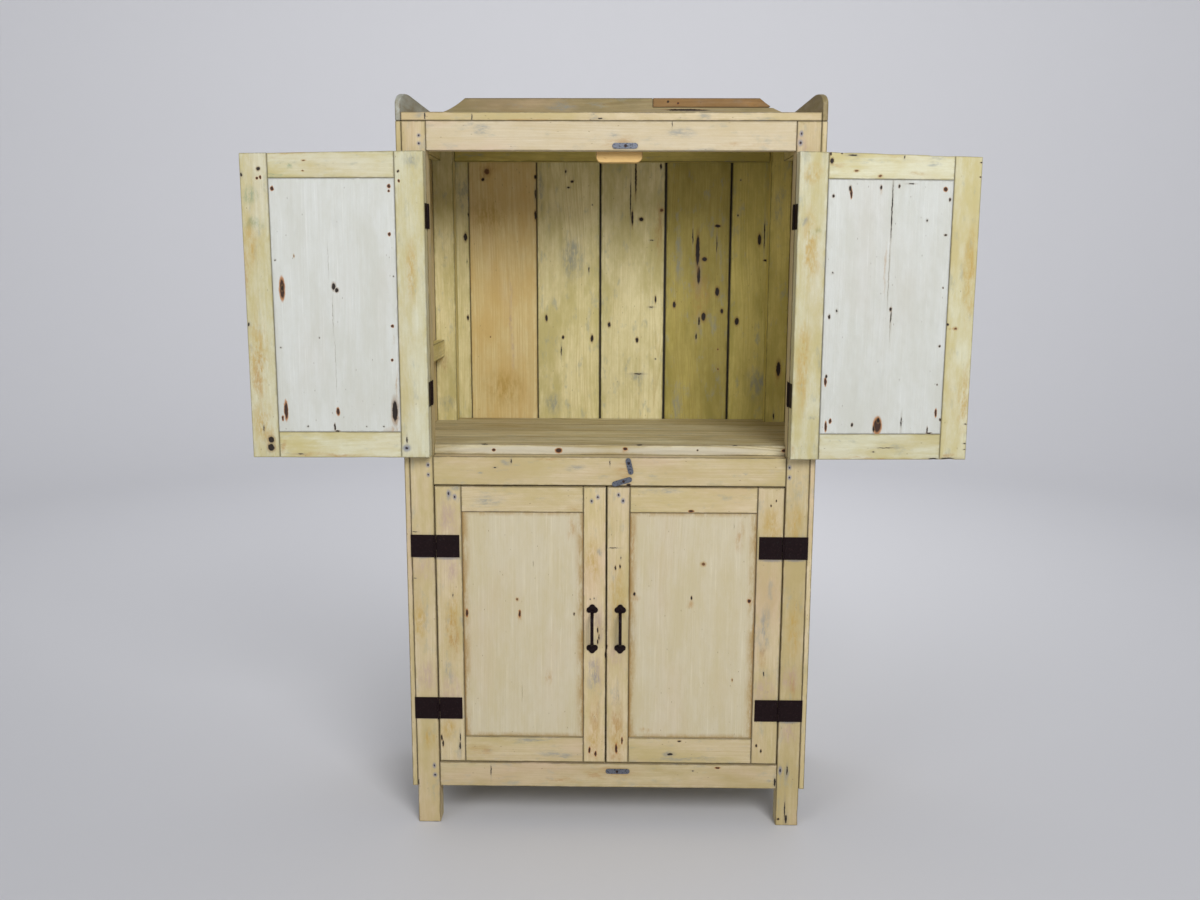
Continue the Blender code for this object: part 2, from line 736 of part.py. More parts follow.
def bow_mesh(middle_x, plate_back, plate_z):
    """The grip: a bar that leaves one plate, bows out and comes down on the other."""
    grip_half = HANDLE_GRIP_L / 2
    base_y = plate_back - HANDLE_GRIP_T / 2 - FIT
    out_y = plate_back + FIT - HANDLE_STANDOFF
    path = [(base_y, -plate_z)]
    steps = 6
    for n in range(steps + 1):
        part = n / steps
        y = base_y + (out_y - base_y) * math.sin(part * math.pi / 2)
        path.append((y, -grip_half * (1.12 - 0.55 * part**2)))
    path += [(y, -z) for y, z in path[::-1]]
    rings = []
    bm = bmesh.new()
    for n, (y, z) in enumerate(path):
        before = Vector(path[max(n - 1, 0)])
        after = Vector(path[min(n + 1, len(path) - 1)])
        along = (after - before).normalized()
        across = Vector((along.y, -along.x)) * (HANDLE_GRIP_T / 2)
        ring = []
        for x_side, sign in ((-1, -1), (1, -1), (1, 1), (-1, 1)):
            x = middle_x + x_side * HANDLE_GRIP_W / 2
            ring.append(bm.verts.new((x, y + sign * across.x, z + sign * across.y)))
        rings.append(ring)
    for low, high in zip(rings, rings[1:]):
        for n in range(4):
            bm.faces.new((low[n], low[(n + 1) % 4], high[(n + 1) % 4], high[n]))
    bm.faces.new(rings[0][::-1])
    bm.faces.new(rings[-1])
    return bm


def make_doors():
    for side, hand in ((-1, "left"), (1, "right")):
        upper = Door(
            f"upper_{hand}_door", side, BUTT, UPPER_OPENING_Z, UPPER_MEET_X,
            UPPER_STILE_W, UPPER_RAIL_H, UPPER_OPEN_DEG[hand],
        )
        upper.make("pale_pine", "door_panel")
        top = upper.foot_z + upper.height
        make_hinge(upper.name + "_upper_hinge", BUTT, upper, top - BUTT_FROM_TOP)
        make_hinge(upper.name + "_lower_hinge", BUTT, upper, upper.foot_z + BUTT_FROM_FOOT)

        lower = Door(
            f"lower_{hand}_door", side, FLAP, LOWER_OPENING_Z, LOWER_MEET_X,
            LOWER_STILE_W, LOWER_RAIL_H, 0.0,
        )
        lower.make("pale_pine", "pale_pine")
        top = lower.foot_z + lower.height
        make_hinge(lower.name + "_upper_hinge", FLAP, lower, top - FLAP_FROM_TOP)
        make_hinge(lower.name + "_lower_hinge", FLAP, lower, lower.foot_z + FLAP_FROM_FOOT)
        make_pull_handle(f"lower_{hand}_pull_handle", lower, HANDLE_INSET[hand])


# ---------------------------------------------------------------- turn buttons
def button_mesh(long_arm, short_arm):
    """A flat bar with round ends, along x, with the screw's domed boss at the pivot."""
    radius = BUTTON_W / 2
    outline = arc((long_arm - radius, 0), radius, -90, 90, 8)
    outline += arc((-short_arm + radius, 0), radius, 90, 270, 8)
    plate = bmesh.new()
    extrude_outline(plate, [(x, 0, z) for x, z in outline], (0, -BUTTON_T, 0))
    boss = bmesh.new()
    made = bmesh.ops.create_cone(
        boss, cap_ends=True, segments=16, radius1=BUTTON_BOSS_R, radius2=BUTTON_BOSS_R * 0.7,
        depth=BUTTON_T / 2 + BUTTON_BOSS_T,
    )
    bmesh.ops.rotate(boss, verts=made["verts"], cent=(0, 0, 0), matrix=Matrix.Rotation(math.pi / 2, 3, "X"))
    middle = -BUTTON_T / 2 - (BUTTON_T / 2 + BUTTON_BOSS_T) / 2
    bmesh.ops.translate(boss, verts=made["verts"], vec=(0, middle, 0))
    return [plate, boss]


def make_turn_button(name, x, z, long_arm, short_arm, heading_deg):
    """A turn button. heading_deg is where its long arm points, seen from the front: 0 right, 90 up."""
    pivot = bpy.data.objects.new(name + "_pivot", None)
    pivot.location = (x, FRONT_Y - BUTTON_LIFT, z)
    pivot.rotation_euler.y = -math.radians(heading_deg)
    bpy.context.scene.collection.objects.link(pivot)
    union(name, button_mesh(long_arm, short_arm), "grey_zinc", pivot)


def make_turn_buttons():
    for name, button in TURN_BUTTONS.items():
        rail_z = RAILS[button["rail"]]
        if "up_from_foot" in button:
            z = rail_z[0] + button["up_from_foot"]
        else:
            z = rail_z[1] - button["down_from_head"]
        make_turn_button(
            name + "_turn_button", button["x"], z, button["long_arm"], button["short_arm"], button["heading"]
        )


# ---------------------------------------------------------------- build
for old in list(bpy.data.objects):
    bpy.data.objects.remove(old, do_unlink=True)
MATERIALS = make_materials()
make_carcass()
make_doors()
make_turn_buttons()
print(len(PIECES), "pieces")
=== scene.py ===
# %% [markdown]
# # A scrubbed pine cupboard with two pairs of doors
#
# The real cupboard is old painted pine that has been scraped back to bare wood. Every board shows where
# it has been: grain, nail holes with a blue-grey bloom of iron, rust marks, splits and yellow patina.
# The CAD parts already have the right places and joints, so this lesson dresses them: each wooden part
# is replaced by one or more eased boards with their own grain, and the iron keeps its CAD shape under a
# new finish. All sizes are in metres, +Z is up and the front faces -Y.

import json
import math

import bmesh
import bpy
from mathutils import Matrix, Vector, noise


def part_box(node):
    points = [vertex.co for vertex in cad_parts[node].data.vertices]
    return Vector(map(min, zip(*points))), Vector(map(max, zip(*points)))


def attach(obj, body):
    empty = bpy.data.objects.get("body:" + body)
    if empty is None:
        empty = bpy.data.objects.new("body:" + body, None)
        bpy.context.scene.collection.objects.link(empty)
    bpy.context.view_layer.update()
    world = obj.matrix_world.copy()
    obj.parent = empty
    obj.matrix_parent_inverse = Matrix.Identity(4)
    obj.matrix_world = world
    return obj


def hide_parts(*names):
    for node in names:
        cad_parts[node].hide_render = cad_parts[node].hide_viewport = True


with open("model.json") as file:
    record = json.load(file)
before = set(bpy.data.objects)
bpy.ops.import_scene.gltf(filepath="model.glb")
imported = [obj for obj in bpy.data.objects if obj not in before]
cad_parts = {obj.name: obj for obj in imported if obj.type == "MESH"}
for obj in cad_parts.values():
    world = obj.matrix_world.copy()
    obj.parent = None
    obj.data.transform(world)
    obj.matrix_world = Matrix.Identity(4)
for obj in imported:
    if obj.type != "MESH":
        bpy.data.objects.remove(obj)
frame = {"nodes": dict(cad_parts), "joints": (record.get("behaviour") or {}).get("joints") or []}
JOINTS = {joint["name"]: joint for joint in frame["joints"]}
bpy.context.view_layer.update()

# %% [markdown]
# ## Camera
#
# Furniture is best looked at from standing height, a few steps back, through a slightly wide lens. Here
# the camera stands 2.7 m in front of the doors at a height of 1.44 m and looks down by about ten degrees.
# One camera with an exact place is enough, because the aim is one fair view of the front.

# %% Camera
EYE = Vector((0.0200, -2.9125, 1.4387))
LENS_MM = 33.69
PITCH_DOWN = 0.1708
YAW = 0.0159
ROLL = 0.0030

camera_data = bpy.data.cameras.new("camera")
camera_data.lens = LENS_MM
camera_data.sensor_width = 36.0
camera_data.dof.use_dof = False
camera = bpy.data.objects.new("camera", camera_data)
turn = Matrix.Rotation(YAW, 4, "Z") @ Matrix.Rotation(math.pi / 2 - PITCH_DOWN, 4, "X")
camera.matrix_world = Matrix.Translation(EYE) @ turn @ Matrix.Rotation(ROLL, 4, "Z")
bpy.context.scene.collection.objects.link(camera)
bpy.context.scene.camera = camera
print("camera at", tuple(round(value, 3) for value in EYE))

# %% [markdown]
# ## Helper for node finishes
#
# A finish is a small network of nodes. Adding them by hand takes many lines, so this helper adds a node,
# fills its inputs with numbers or with other nodes' outputs, and gives back the output. A finish then
# reads like a list of steps. Two more helpers start a material and a node group, each ready to be wired.


# %% Wiring helper
class Wiring:
    """Adds nodes to one node tree and joins them."""

    def __init__(self, tree):
        self.tree = tree

    def feed(self, socket, value):
        if isinstance(value, bpy.types.NodeSocket):
            self.tree.links.new(value, socket)
        else:
            socket.default_value = value

    def node(self, kind, inputs=None, **settings):
        made = self.tree.nodes.new(kind)
        for key, value in settings.items():
            setattr(made, key, value)
        for key, value in (inputs or {}).items():
            self.feed(made.inputs[key], value)
        return made

    def math(self, operation, *values, clamp=False):
        made = self.node("ShaderNodeMath", operation=operation, use_clamp=clamp)
        for socket, value in zip(made.inputs, values):
            self.feed(socket, value)
        return made.outputs[0]

    def vector(self, operation, *values):
        made = self.node("ShaderNodeVectorMath", operation=operation)
        for socket, value in zip(made.inputs, values):
            self.feed(socket, value)
        return made.outputs["Value" if operation == "LENGTH" else "Vector"]

    def scaled(self, value, amount):
        made = self.node("ShaderNodeVectorMath", {"Vector": value, "Scale": amount}, operation="SCALE")
        return made.outputs["Vector"]

    def split(self, value):
        return self.node("ShaderNodeSeparateXYZ", {"Vector": value}).outputs

    def fade(self, value, start, end, low=0.0, high=1.0):
        """Eases from low at start to high at end."""
        ends = {"Value": value, "From Min": start, "From Max": end, "To Min": low, "To Max": high}
        return self.node("ShaderNodeMapRange", ends, interpolation_type="SMOOTHSTEP").outputs["Result"]

    def blend(self, amount, first, second, how="MIX"):
        inputs = {0: amount, 6: first, 7: second}
        return self.node("ShaderNodeMix", inputs, data_type="RGBA", blend_type=how).outputs[2]

    def noise(self, where, stretch, detail=2.0, roughness=0.5, output="Fac"):
        """Cloudy noise; stretch gives how many blobs fit in a metre along each axis."""
        placed = self.vector("MULTIPLY", where, stretch)
        inputs = {"Vector": placed, "Scale": 1.0, "Detail": detail, "Roughness": roughness}
        return self.node("ShaderNodeTexNoise", inputs).outputs[output]

    def wander(self, where, stretch, detail, roughness, reach):
        """A place pushed about by noise, by up to half of reach along each axis."""
        push = self.noise(where, stretch, detail, roughness, "Color")
        push = self.vector("SUBTRACT", push, (0.5, 0.5, 0.5))
        return self.vector("ADD", where, self.vector("MULTIPLY", push, reach))


def new_finish(name):
    """A material, the inputs of its shader, and the helper that wires nodes to it."""
    material = bpy.data.materials.new(name)
    material.use_nodes = True
    tree = material.node_tree
    return material, tree.nodes["Principled BSDF"].inputs, Wiring(tree)


def new_group(name, inputs, outputs):
    """The helper for a new node group, what the group is given, and where its results go."""
    tree = bpy.data.node_groups.new(name, "ShaderNodeTree")
    for way, sockets in (("INPUT", inputs), ("OUTPUT", outputs)):
        for label, kind in sockets.items():
            tree.interface.new_socket(label, in_out=way, socket_type="NodeSocket" + kind)
    wire = Wiring(tree)
    return wire, wire.node("NodeGroupInput").outputs, wire.node("NodeGroupOutput").inputs


def srgb(red, green, blue):
    """A colour as it looks on a screen, 0 to 255, turned into the linear values that nodes use."""
    linear = []
    for value in (red, green, blue):
        part = value / 255
        linear.append(part / 12.92 if part <= 0.04045 else ((part + 0.055) / 1.055) ** 2.4)
    return (*linear, 1.0)


def plain_finish(name, colour, roughness):
    """One even colour, for the floor and for the dirt in a screw's slot."""
    material, shader, _ = new_finish(name)
    shader["Base Color"].default_value = colour
    shader["Roughness"].default_value = roughness
    return material


print("helpers ready")

# %% [markdown]
# ## Pale floor and soft light
#
# A studio has a floor that bends up into a wall, so that no corner shows behind the furniture. One
# profile spun round the upright axis makes such a bowl. Soft light from a large window shows old wood
# best: it fills the inside of the cupboard and still leaves gentle shadows in the joints. The main light
# stands to the right of the camera, so the inner faces on the left are bright and those on the right are
# dim. A weaker light fills the left, and a third one lights only the bowl behind.

# %% Floor
FLOOR_RADIUS = 5.0
BOWL_CURVE = 2.5  # radius of the bend from floor to wall
BOWL_HEIGHT = 5.0
BEND_STEPS = 12
ROUND_STEPS = 64

bm = bmesh.new()
profile = [(0.0, 0.0), (FLOOR_RADIUS, 0.0)]
for n in range(1, BEND_STEPS + 1):
    angle = math.pi / 2 * n / BEND_STEPS
    profile.append((FLOOR_RADIUS + BOWL_CURVE * math.sin(angle), BOWL_CURVE * (1 - math.cos(angle))))
profile.append((FLOOR_RADIUS + BOWL_CURVE, BOWL_HEIGHT))
verts = [bm.verts.new((x, 0.0, z)) for x, z in profile]
edges = [bm.edges.new(pair) for pair in zip(verts, verts[1:])]
whole_turn = {"angle": 2 * math.pi, "steps": ROUND_STEPS, "use_merge": True}
bmesh.ops.spin(bm, geom=verts + edges, cent=(0, 0, 0), axis=(0, 0, 1), **whole_turn)
bmesh.ops.remove_doubles(bm, verts=bm.verts, dist=0.0001)
bmesh.ops.recalc_face_normals(bm, faces=bm.faces)
floor_mesh = bpy.data.meshes.new("floor")
bm.to_mesh(floor_mesh)
bm.free()
floor_mesh.shade_smooth()
floor_mesh.materials.append(plain_finish("pale floor", srgb(208, 208, 211), 0.7))
floor = bpy.data.objects.new("floor", floor_mesh)
bpy.context.scene.collection.objects.link(floor)
print("floor is", 2 * FLOOR_RADIUS, "m across before it bends up")


# %% Lights and sky
def soft_light(name, place, aim, size, power):
    data = bpy.data.lights.new(name, "AREA")
    data.shape = "DISK"
    data.size = size
    data.energy = power
    light = bpy.data.objects.new(name, data)
    direction = Vector(aim) - Vector(place)
    light.matrix_world = Matrix.Translation(place) @ direction.to_track_quat("-Z", "Y").to_matrix().to_4x4()
    bpy.context.scene.collection.objects.link(light)


soft_light("window light", (1.5, -4.4, 3.7), (0.0, 0.0, 1.2), size=2.4, power=185.0)
soft_light("fill light", (-3.0, -4.0, 2.2), (0.0, 0.0, 1.1), size=2.4, power=45.0)
soft_light("backdrop light", (0.0, 1.6, 4.4), (0.0, 7.0, 1.6), size=3.0, power=170.0)

world = bpy.data.worlds.new("soft sky")
world.use_nodes = True
sky = world.node_tree.nodes["Background"]
sky.inputs["Color"].default_value = srgb(214, 217, 224)
sky.inputs["Strength"].default_value = 0.50
bpy.context.scene.world = world
bpy.context.scene.view_settings.view_transform = "Standard"
print("lights set")

# %% [markdown]
# ## The grain of old pine
#
# Pine shows its yearly rings as long lines, because the saw cuts along the trunk. Instead of drawing
# lines, the finish imagines the trunk: it measures how far each point is from a pith line that runs
# along the board outside its face, bends that distance with slow noise, and draws a darker line each
# time it passes one ring. Fine noise stretched along the board makes the fibres, and wider noise makes
# the patina, the grey bloom and the pink blush. Dirt and handling gather near the board's edges. The
# finish reads three values that each board carries: `place`, its own across, depth and along; `half`,
# its half size the same three ways; and `board`, a number that makes its grain differ from the others'.


# %% Old pine node group
RING_GAP = 0.0062
PITH_DEPTH = 0.035
WHITE = (1.0, 1.0, 1.0, 1.0)


def make_old_pine():
    amounts = ("Ring strength", "Patina amount", "Bruise amount", "Blush amount", "Soil amount")
    given_sockets = {"Place": "Vector", "Half": "Vector", "Board": "Float"}
    given_sockets |= {"Pale": "Color", "Line": "Color", "Patina": "Color"} | dict.fromkeys(amounts, "Float")
    made_sockets = {"Color": "Color", "Height": "Float", "Roughness": "Float"}
    wire, given, result = new_group("old pine", given_sockets, made_sockets)
    place = given["Place"]
    where = wire.vector("ADD", place, wire.scaled((0.37, 0.21, 0.53), given["Board"]))

    # the trunk's rings, as lines along the board
    drift = wire.noise(where, (3.0, 3.0, 1.3), 1.0, 0.5, "Color")
    drift = wire.vector("MULTIPLY", wire.vector("SUBTRACT", drift, (0.5, 0.5, 0.5)), (0.09, 0.05, 0.0))
    dice = wire.node("ShaderNodeTexWhiteNoise", {"W": given["Board"]}, noise_dimensions="1D").outputs
    pith = wire.vector("SUBTRACT", dice["Color"], (0.5, 0.5, 0.0))
    pith = wire.vector("MULTIPLY", pith, (0.14, 0.04, 0.0))
    from_pith = wire.vector("ADD", wire.vector("ADD", place, drift), pith)
    from_pith = wire.vector("ADD", from_pith, (0.0, PITH_DEPTH, 0.0))
    radius = wire.vector("LENGTH", wire.vector("MULTIPLY", from_pith, (1.0, 1.0, 0.0)))
    uneven = wire.noise(where, (70.0, 70.0, 3.0))
    years = wire.noise(wire.node("ShaderNodeCombineXYZ", {"X": radius}).outputs[0], (55.0, 1.0, 1.0))
    turns = wire.math("ADD", wire.math("DIVIDE", radius, RING_GAP), wire.math("MULTIPLY", uneven, 1.2))
    turns = wire.math("MULTIPLY_ADD", years, 5.0, turns)
    ring = wire.math("FRACT", turns)
    line = wire.math("MULTIPLY", wire.fade(ring, 0.30, 0.90), wire.fade(ring, 0.90, 1.0, 1.0, 0.0))
    strength = wire.fade(wire.noise(where, (8.0, 8.0, 1.5), 1.0), 0.30, 0.70, 0.35, 1.0)
    line = wire.math("MULTIPLY", line, strength)

    # fibres and streaks darken the pale wood towards the colour of the lines
    fibre = wire.noise(where, (1400.0, 1400.0, 26.0), 2.0, 0.6)
    streak = wire.fade(wire.noise(where, (130.0, 130.0, 2.6), 3.0, 0.6), 0.42, 0.72)
    amount = wire.math("MULTIPLY", line, given["Ring strength"])
    amount = wire.math("MULTIPLY_ADD", streak, 0.20, amount)
    amount = wire.math("MULTIPLY_ADD", wire.fade(fibre, 0.35, 0.75), 0.16, amount, clamp=True)
    colour = wire.blend(amount, given["Pale"], given["Line"])

    # old finish: mottle, scraped streaks, patina, blush and bruise, each over the last
    mottle = wire.fade(wire.noise(where, (48.0, 48.0, 20.0), 7.0, 0.72), 0.38, 0.66)
    colour = wire.blend(wire.math("MULTIPLY", mottle, 0.30), colour, given["Patina"])
    scraped = wire.fade(wire.noise(where, (380.0, 380.0, 7.0)), 0.56, 0.74)
    colour = wire.blend(wire.math("MULTIPLY", scraped, 0.22), colour, WHITE, "SOFT_LIGHT")
    patina = wire.fade(wire.noise(where, (13.0, 13.0, 4.0), 6.0, 0.64), 0.40, 0.66)
    colour = wire.blend(wire.math("MULTIPLY", patina, given["Patina amount"]), colour, given["Patina"])
    elsewhere = wire.vector("ADD", where, (3.1, 1.7, 0.4))
    blush = wire.fade(wire.noise(elsewhere, (8.0, 8.0, 3.0), 3.0), 0.48, 0.74)
    blush = wire.math("MULTIPLY", blush, given["Blush amount"])
    colour = wire.blend(blush, colour, srgb(202, 166, 146))
    elsewhere = wire.vector("ADD", where, (7.3, 2.9, 1.1))
    bruise = wire.fade(wire.noise(elsewhere, (42.0, 42.0, 17.0), 5.0, 0.68), 0.54, 0.74)
    bruise = wire.math("MULTIPLY", bruise, given["Bruise amount"])
    colour = wire.blend(bruise, colour, srgb(140, 148, 142))

    # a few brown specks, each in one cell out of ten or so
    packed = wire.vector("MULTIPLY", where, (150.0, 150.0, 60.0))
    cells = wire.node("ShaderNodeTexVoronoi", {"Vector": packed, "Scale": 1.0}, feature="F1").outputs
    chance = wire.node("ShaderNodeSeparateColor", {"Color": cells["Color"]}).outputs[0]
    speck = wire.math("MULTIPLY", wire.fade(cells["Distance"], 0.16, 0.08), wire.fade(chance, 0.90, 0.94))
    colour = wire.blend(wire.math("MULTIPLY", speck, 0.55), colour, srgb(96, 70, 44))

    # soil and handling near an arris, which is close where two of the three insets are small
    inset = wire.split(wire.vector("SUBTRACT", given["Half"], wire.vector("ABSOLUTE", place)))
    nearer = wire.math("MINIMUM", inset["X"], inset["Y"])
    farther = wire.math("MAXIMUM", inset["X"], inset["Y"])
    arris = wire.math("MAXIMUM", nearer, wire.math("MINIMUM", farther, inset["Z"]))
    smudge = wire.noise(where, (90.0, 90.0, 30.0), 4.0, 0.65)
    arris = wire.math("MULTIPLY_ADD", smudge, -0.006, arris)
    soil = wire.math("MULTIPLY", wire.fade(arris, 0.0006, -0.0028), given["Soil amount"])
    colour = wire.blend(soil, colour, srgb(58, 46, 32))
    handled = wire.math("MULTIPLY", wire.fade(arris, 0.012, -0.003), wire.fade(smudge, 0.45, 0.62, 0.0, 0.45))
    colour = wire.blend(handled, colour, given["Patina"])

    height = wire.math("MULTIPLY_ADD", line, -0.35, wire.math("MULTIPLY", fibre, 0.5))
    wire.feed(result["Color"], wire.scaled(colour, wire.fade(dice["Value"], 0.0, 1.0, 0.93, 1.05)))
    wire.feed(result["Height"], wire.math("MULTIPLY_ADD", speck, -0.6, height))
    gloss = wire.noise(where, (60.0, 60.0, 12.0))
    wire.feed(result["Roughness"], wire.fade(gloss, 0.3, 0.7, 0.52, 0.70))
    return wire.tree


OLD_PINE = make_old_pine()
print("grain group has", len(OLD_PINE.nodes), "nodes")

# %% [markdown]
# ## Tones of the cupboard's wood
#
# The same pine has aged in different ways. The outside is pale cream with a blush of pink, the open
# doors are a greener cream with almost white panels, and the inside, which nobody scrubs, is olive. Each
# tone gives the grain group its three colours and how much of the rings, patina, bloom, blush and soil
# shows. Three tones are painted shade: two are darker copies of the outside and moss tones, for parts that
# lie in shade, and a near-black one stands for the deep shade in the open joints of the back.

# %% Tones
TONE_INPUTS = (
    "Pale", "Line", "Patina",
    "Ring strength", "Patina amount", "Bruise amount", "Blush amount", "Soil amount",
)
# name: slot, colours of the pale wood, the lines and the patina, then the five amounts
TONES = {
    "outside": ("pale_pine", (211, 194, 158), (180, 156, 112), (190, 172, 120), 0.3, 0.9, 0.42, 0.3, 0.85),
    # a darker copy of the outside tone: painted shade, for the right post and for the bottom rail
    "outside dim": (
        "pale_pine", (196, 180, 143), (166, 144, 100), (174, 156, 106), 0.3, 0.9, 0.46, 0.28, 0.85,
    ),
    "outside pale": (
        "pale_pine", (203, 190, 162), (178, 158, 122), (190, 172, 132), 0.24, 0.6, 0.4, 0.4, 0.6,
    ),
    "lower panel": (
        "door_panel", (199, 189, 162), (184, 170, 134), (188, 174, 134), 0.24, 0.55, 0.05, 0.1, 0.6,
    ),
    "open frame": (
        "pale_pine", (210, 208, 182), (184, 174, 126), (190, 178, 124), 0.22, 0.95, 0.45, 0.1, 0.6,
    ),
    "open panel": (
        "door_panel", (210, 212, 206), (195, 194, 184), (196, 196, 184), 0.2, 0.65, 0.06, 0.05, 0.6,
    ),
    "inside": ("aged_pine", (229, 218, 169), (188, 168, 110), (184, 172, 108), 0.4, 0.8, 0.5, 0.0, 0.8),
    # the moss tone made darker: a painted shade, for the fifth back board in the shade of the right side
    "inside olive": (
        "aged_pine", (182, 167, 92), (146, 124, 54), (144, 132, 60), 0.44, 0.8, 0.55, 0.0, 0.8,
    ),
    "inside moss": (
        "aged_pine", (214, 199, 116), (172, 150, 72), (170, 157, 78), 0.44, 0.8, 0.55, 0.0, 0.8,
    ),
    "inside orange": (
        "aged_pine", (230, 212, 156), (202, 170, 104), (214, 182, 114), 0.45, 0.8, 0.04, 0.15, 0.6,
    ),
    "shelf": ("aged_pine", (214, 204, 168), (126, 106, 66), (172, 154, 106), 0.95, 0.65, 0.45, 0.0, 0.6),
    "gallery": ("gallery_pine", (158, 142, 102), (130, 108, 70), (124, 112, 72), 0.42, 0.7, 0.5, 0.2, 0.6),
    "weathered": (
        "gallery_pine", (176, 178, 166), (136, 128, 104), (136, 122, 92), 0.4, 0.9, 0.6, 0.0, 0.6,
    ),
    "repair": ("repair_wood", (156, 121, 72), (122, 88, 48), (130, 98, 54), 0.45, 0.6, 0.12, 0.3, 0.6),
    "new block": (
        "orange_pine", (222, 186, 120), (196, 148, 82), (206, 166, 100), 0.4, 0.4, 0.02, 0.0, 0.6,
    ),
    # near black: a painted shade for the deep shade in the open joints of the back, given to the tongues
    "painted shade in gap": ("aged_pine", (34, 28, 20), (22, 18, 12), (26, 22, 14), 0.3, 0.4, 0.0, 0.0, 0.6),
}
print(len(TONES), "tones")

# %% [markdown]
# ## Marks with a place of their own
#
# Nail holes, rust, knots and splits are not random: each belongs to one spot of one board. A mark is an
# ellipse given by its middle and its half width and half height. At every point the finish finds the
# nearest mark, measured in that mark's own size, so 1 is the mark's edge whatever its shape. A little
# noise on the coordinates makes the edge ragged. Each kind of mark then has a halo, and most have a dark
# core that is also cut in. Blotches of colour are soft marks: they have no core, and stronger noise
# breaks them up. The kinds are painted in this order, so the faint ones lie under the dark ones.

# %% Kinds of mark
# kind: core colour, where the core fades out, halo colour, how far it reaches, how strong it is
MARK_KINDS = {
    "bleach": (None, None, srgb(202, 195, 176), (0.5, 1.2), 0.75),
    "mauve": (None, None, srgb(176, 148, 140), (0.1, 1.4), 0.66),
    "verdigris": (None, None, srgb(120, 142, 112), (0.1, 1.3), 0.75),
    "ochre": (None, None, srgb(182, 150, 78), (0.1, 1.4), 0.85),
    "stain": (None, None, srgb(168, 124, 64), (0.1, 1.4), 0.58),
    "bruise": (None, None, srgb(124, 132, 134), (0.2, 1.4), 0.62),
    "smear": (None, None, srgb(112, 114, 126), (0.3, 1.7), 0.60),
    "hairline": (None, None, srgb(120, 108, 88), (0.3, 1.2), 0.60),
    "knot": (srgb(104, 70, 40), (0.50, 1.05), srgb(176, 140, 84), (0.9, 2.0), 0.55),
    "nail": (srgb(38, 34, 44), (0.75, 1.10), srgb(118, 122, 142), (1.0, 3.4), 0.70),
    "rust": (srgb(60, 38, 26), (0.72, 1.06), srgb(172, 112, 52), (1.0, 1.38), 0.88),
    "crack": (srgb(40, 32, 26), (0.70, 1.15), srgb(150, 140, 120), (1.0, 3.0), 0.35),
    "hole": (srgb(34, 24, 17), (0.80, 1.10), srgb(132, 98, 56), (1.0, 1.8), 0.50),
}
RAGGED = 0.0046  # noise pushes a mark's edge by up to half of this
BLOTCHY = 0.030  # and a soft mark's edge by up to half of this
SOFT_MARKS = ("bruise", "stain", "mauve", "ochre", "verdigris")
FAR = 99.0  # no mark is this far away, measured in its own size


def make_spot():
    sockets = {"Place": "Vector", "Middle": "Vector", "Half size": "Vector", "Nearest": "Float"}
    wire, given, result = new_group("spot", sockets, {"Nearest": "Float"})
    away = wire.vector("SUBTRACT", given["Place"], given["Middle"])
    length = wire.vector("LENGTH", wire.vector("DIVIDE", away, given["Half size"]))
    wire.feed(result["Nearest"], wire.math("MINIMUM", length, given["Nearest"]))
    return wire.tree


SPOT = make_spot()


def paint_marks(wire, place, ragged, colour, marks):
    """Draws the marks over a colour and gives back the colour and how deep each point is cut."""
    blotchy = wire.wander(place, (34.0, 34.0, 18.0), 4.0, 0.7, (BLOTCHY, 0.0, BLOTCHY))
    broken = wire.fade(wire.noise(place, (110.0, 110.0, 34.0), 6.0, 0.75), 0.40, 0.62, 0.14, 1.0)
    depth = 0.0
    for kind, (core, core_edge, halo, reach, strength) in MARK_KINDS.items():
        if kind not in marks:
            continue
        soft = kind in SOFT_MARKS
        where = blotchy if soft else ragged
        nearest = FAR
        for middle, half in marks[kind]:
            inputs = {"Place": where, "Middle": middle, "Half size": half, "Nearest": nearest}
            nearest = wire.node("ShaderNodeGroup", inputs, node_tree=SPOT).outputs["Nearest"]
        cover = wire.fade(nearest, reach[1], reach[0], 0.0, strength)
        if soft:
            cover = wire.math("MULTIPLY", cover, broken)
        colour = wire.blend(cover, colour, halo)
        if core:
            inner = wire.fade(nearest, core_edge[1], core_edge[0])
            colour = wire.blend(inner, colour, core)
            depth = wire.math("ADD", inner, depth)
    return colour, depth


print(len(MARK_KINDS), "kinds of mark")

# %% [markdown]
# ## One finish per board
#
# Boards without marks share one finish per tone. A board with marks gets a finish of its own, which adds
# them to the same grain. The panels of the lower doors also have a rim: a brown strip beside each
# stile, where old varnish stayed in the corner out of the scraper's reach, and right against the stile a
# darker line, painted shade in the corner where the panel meets its frame.


# %% Pine finish
def paint_rim(wire, place, half, ragged, colour):
    """The brown left in the corner between a panel and its frame, and a darker line against the frame that is
    painted shade.
    """
    inset = wire.split(wire.vector("SUBTRACT", half, wire.vector("ABSOLUTE", ragged)))
    patchy = wire.fade(wire.noise(place, (34.0, 34.0, 10.0), 8.0, 0.80), 0.38, 0.58, 0.12, 1.0)
    strip = wire.fade(inset["X"], 0.024, 0.003)
    ends = wire.fade(inset["Z"], 0.014, 0.001, 0.0, 0.7)
    edge = wire.math("MULTIPLY", wire.math("MAXIMUM", strip, ends), patchy)
    colour = wire.blend(wire.math("MULTIPLY", edge, 0.85), colour, srgb(164, 132, 76))
    # painted shade: a darker line within a few millimetres of each stile, in the corner where panel and frame
    # meet
    close = wire.fade(inset["X"], 0.0065, 0.001, 0.0, 0.55)
    return wire.blend(close, colour, srgb(128, 96, 44))


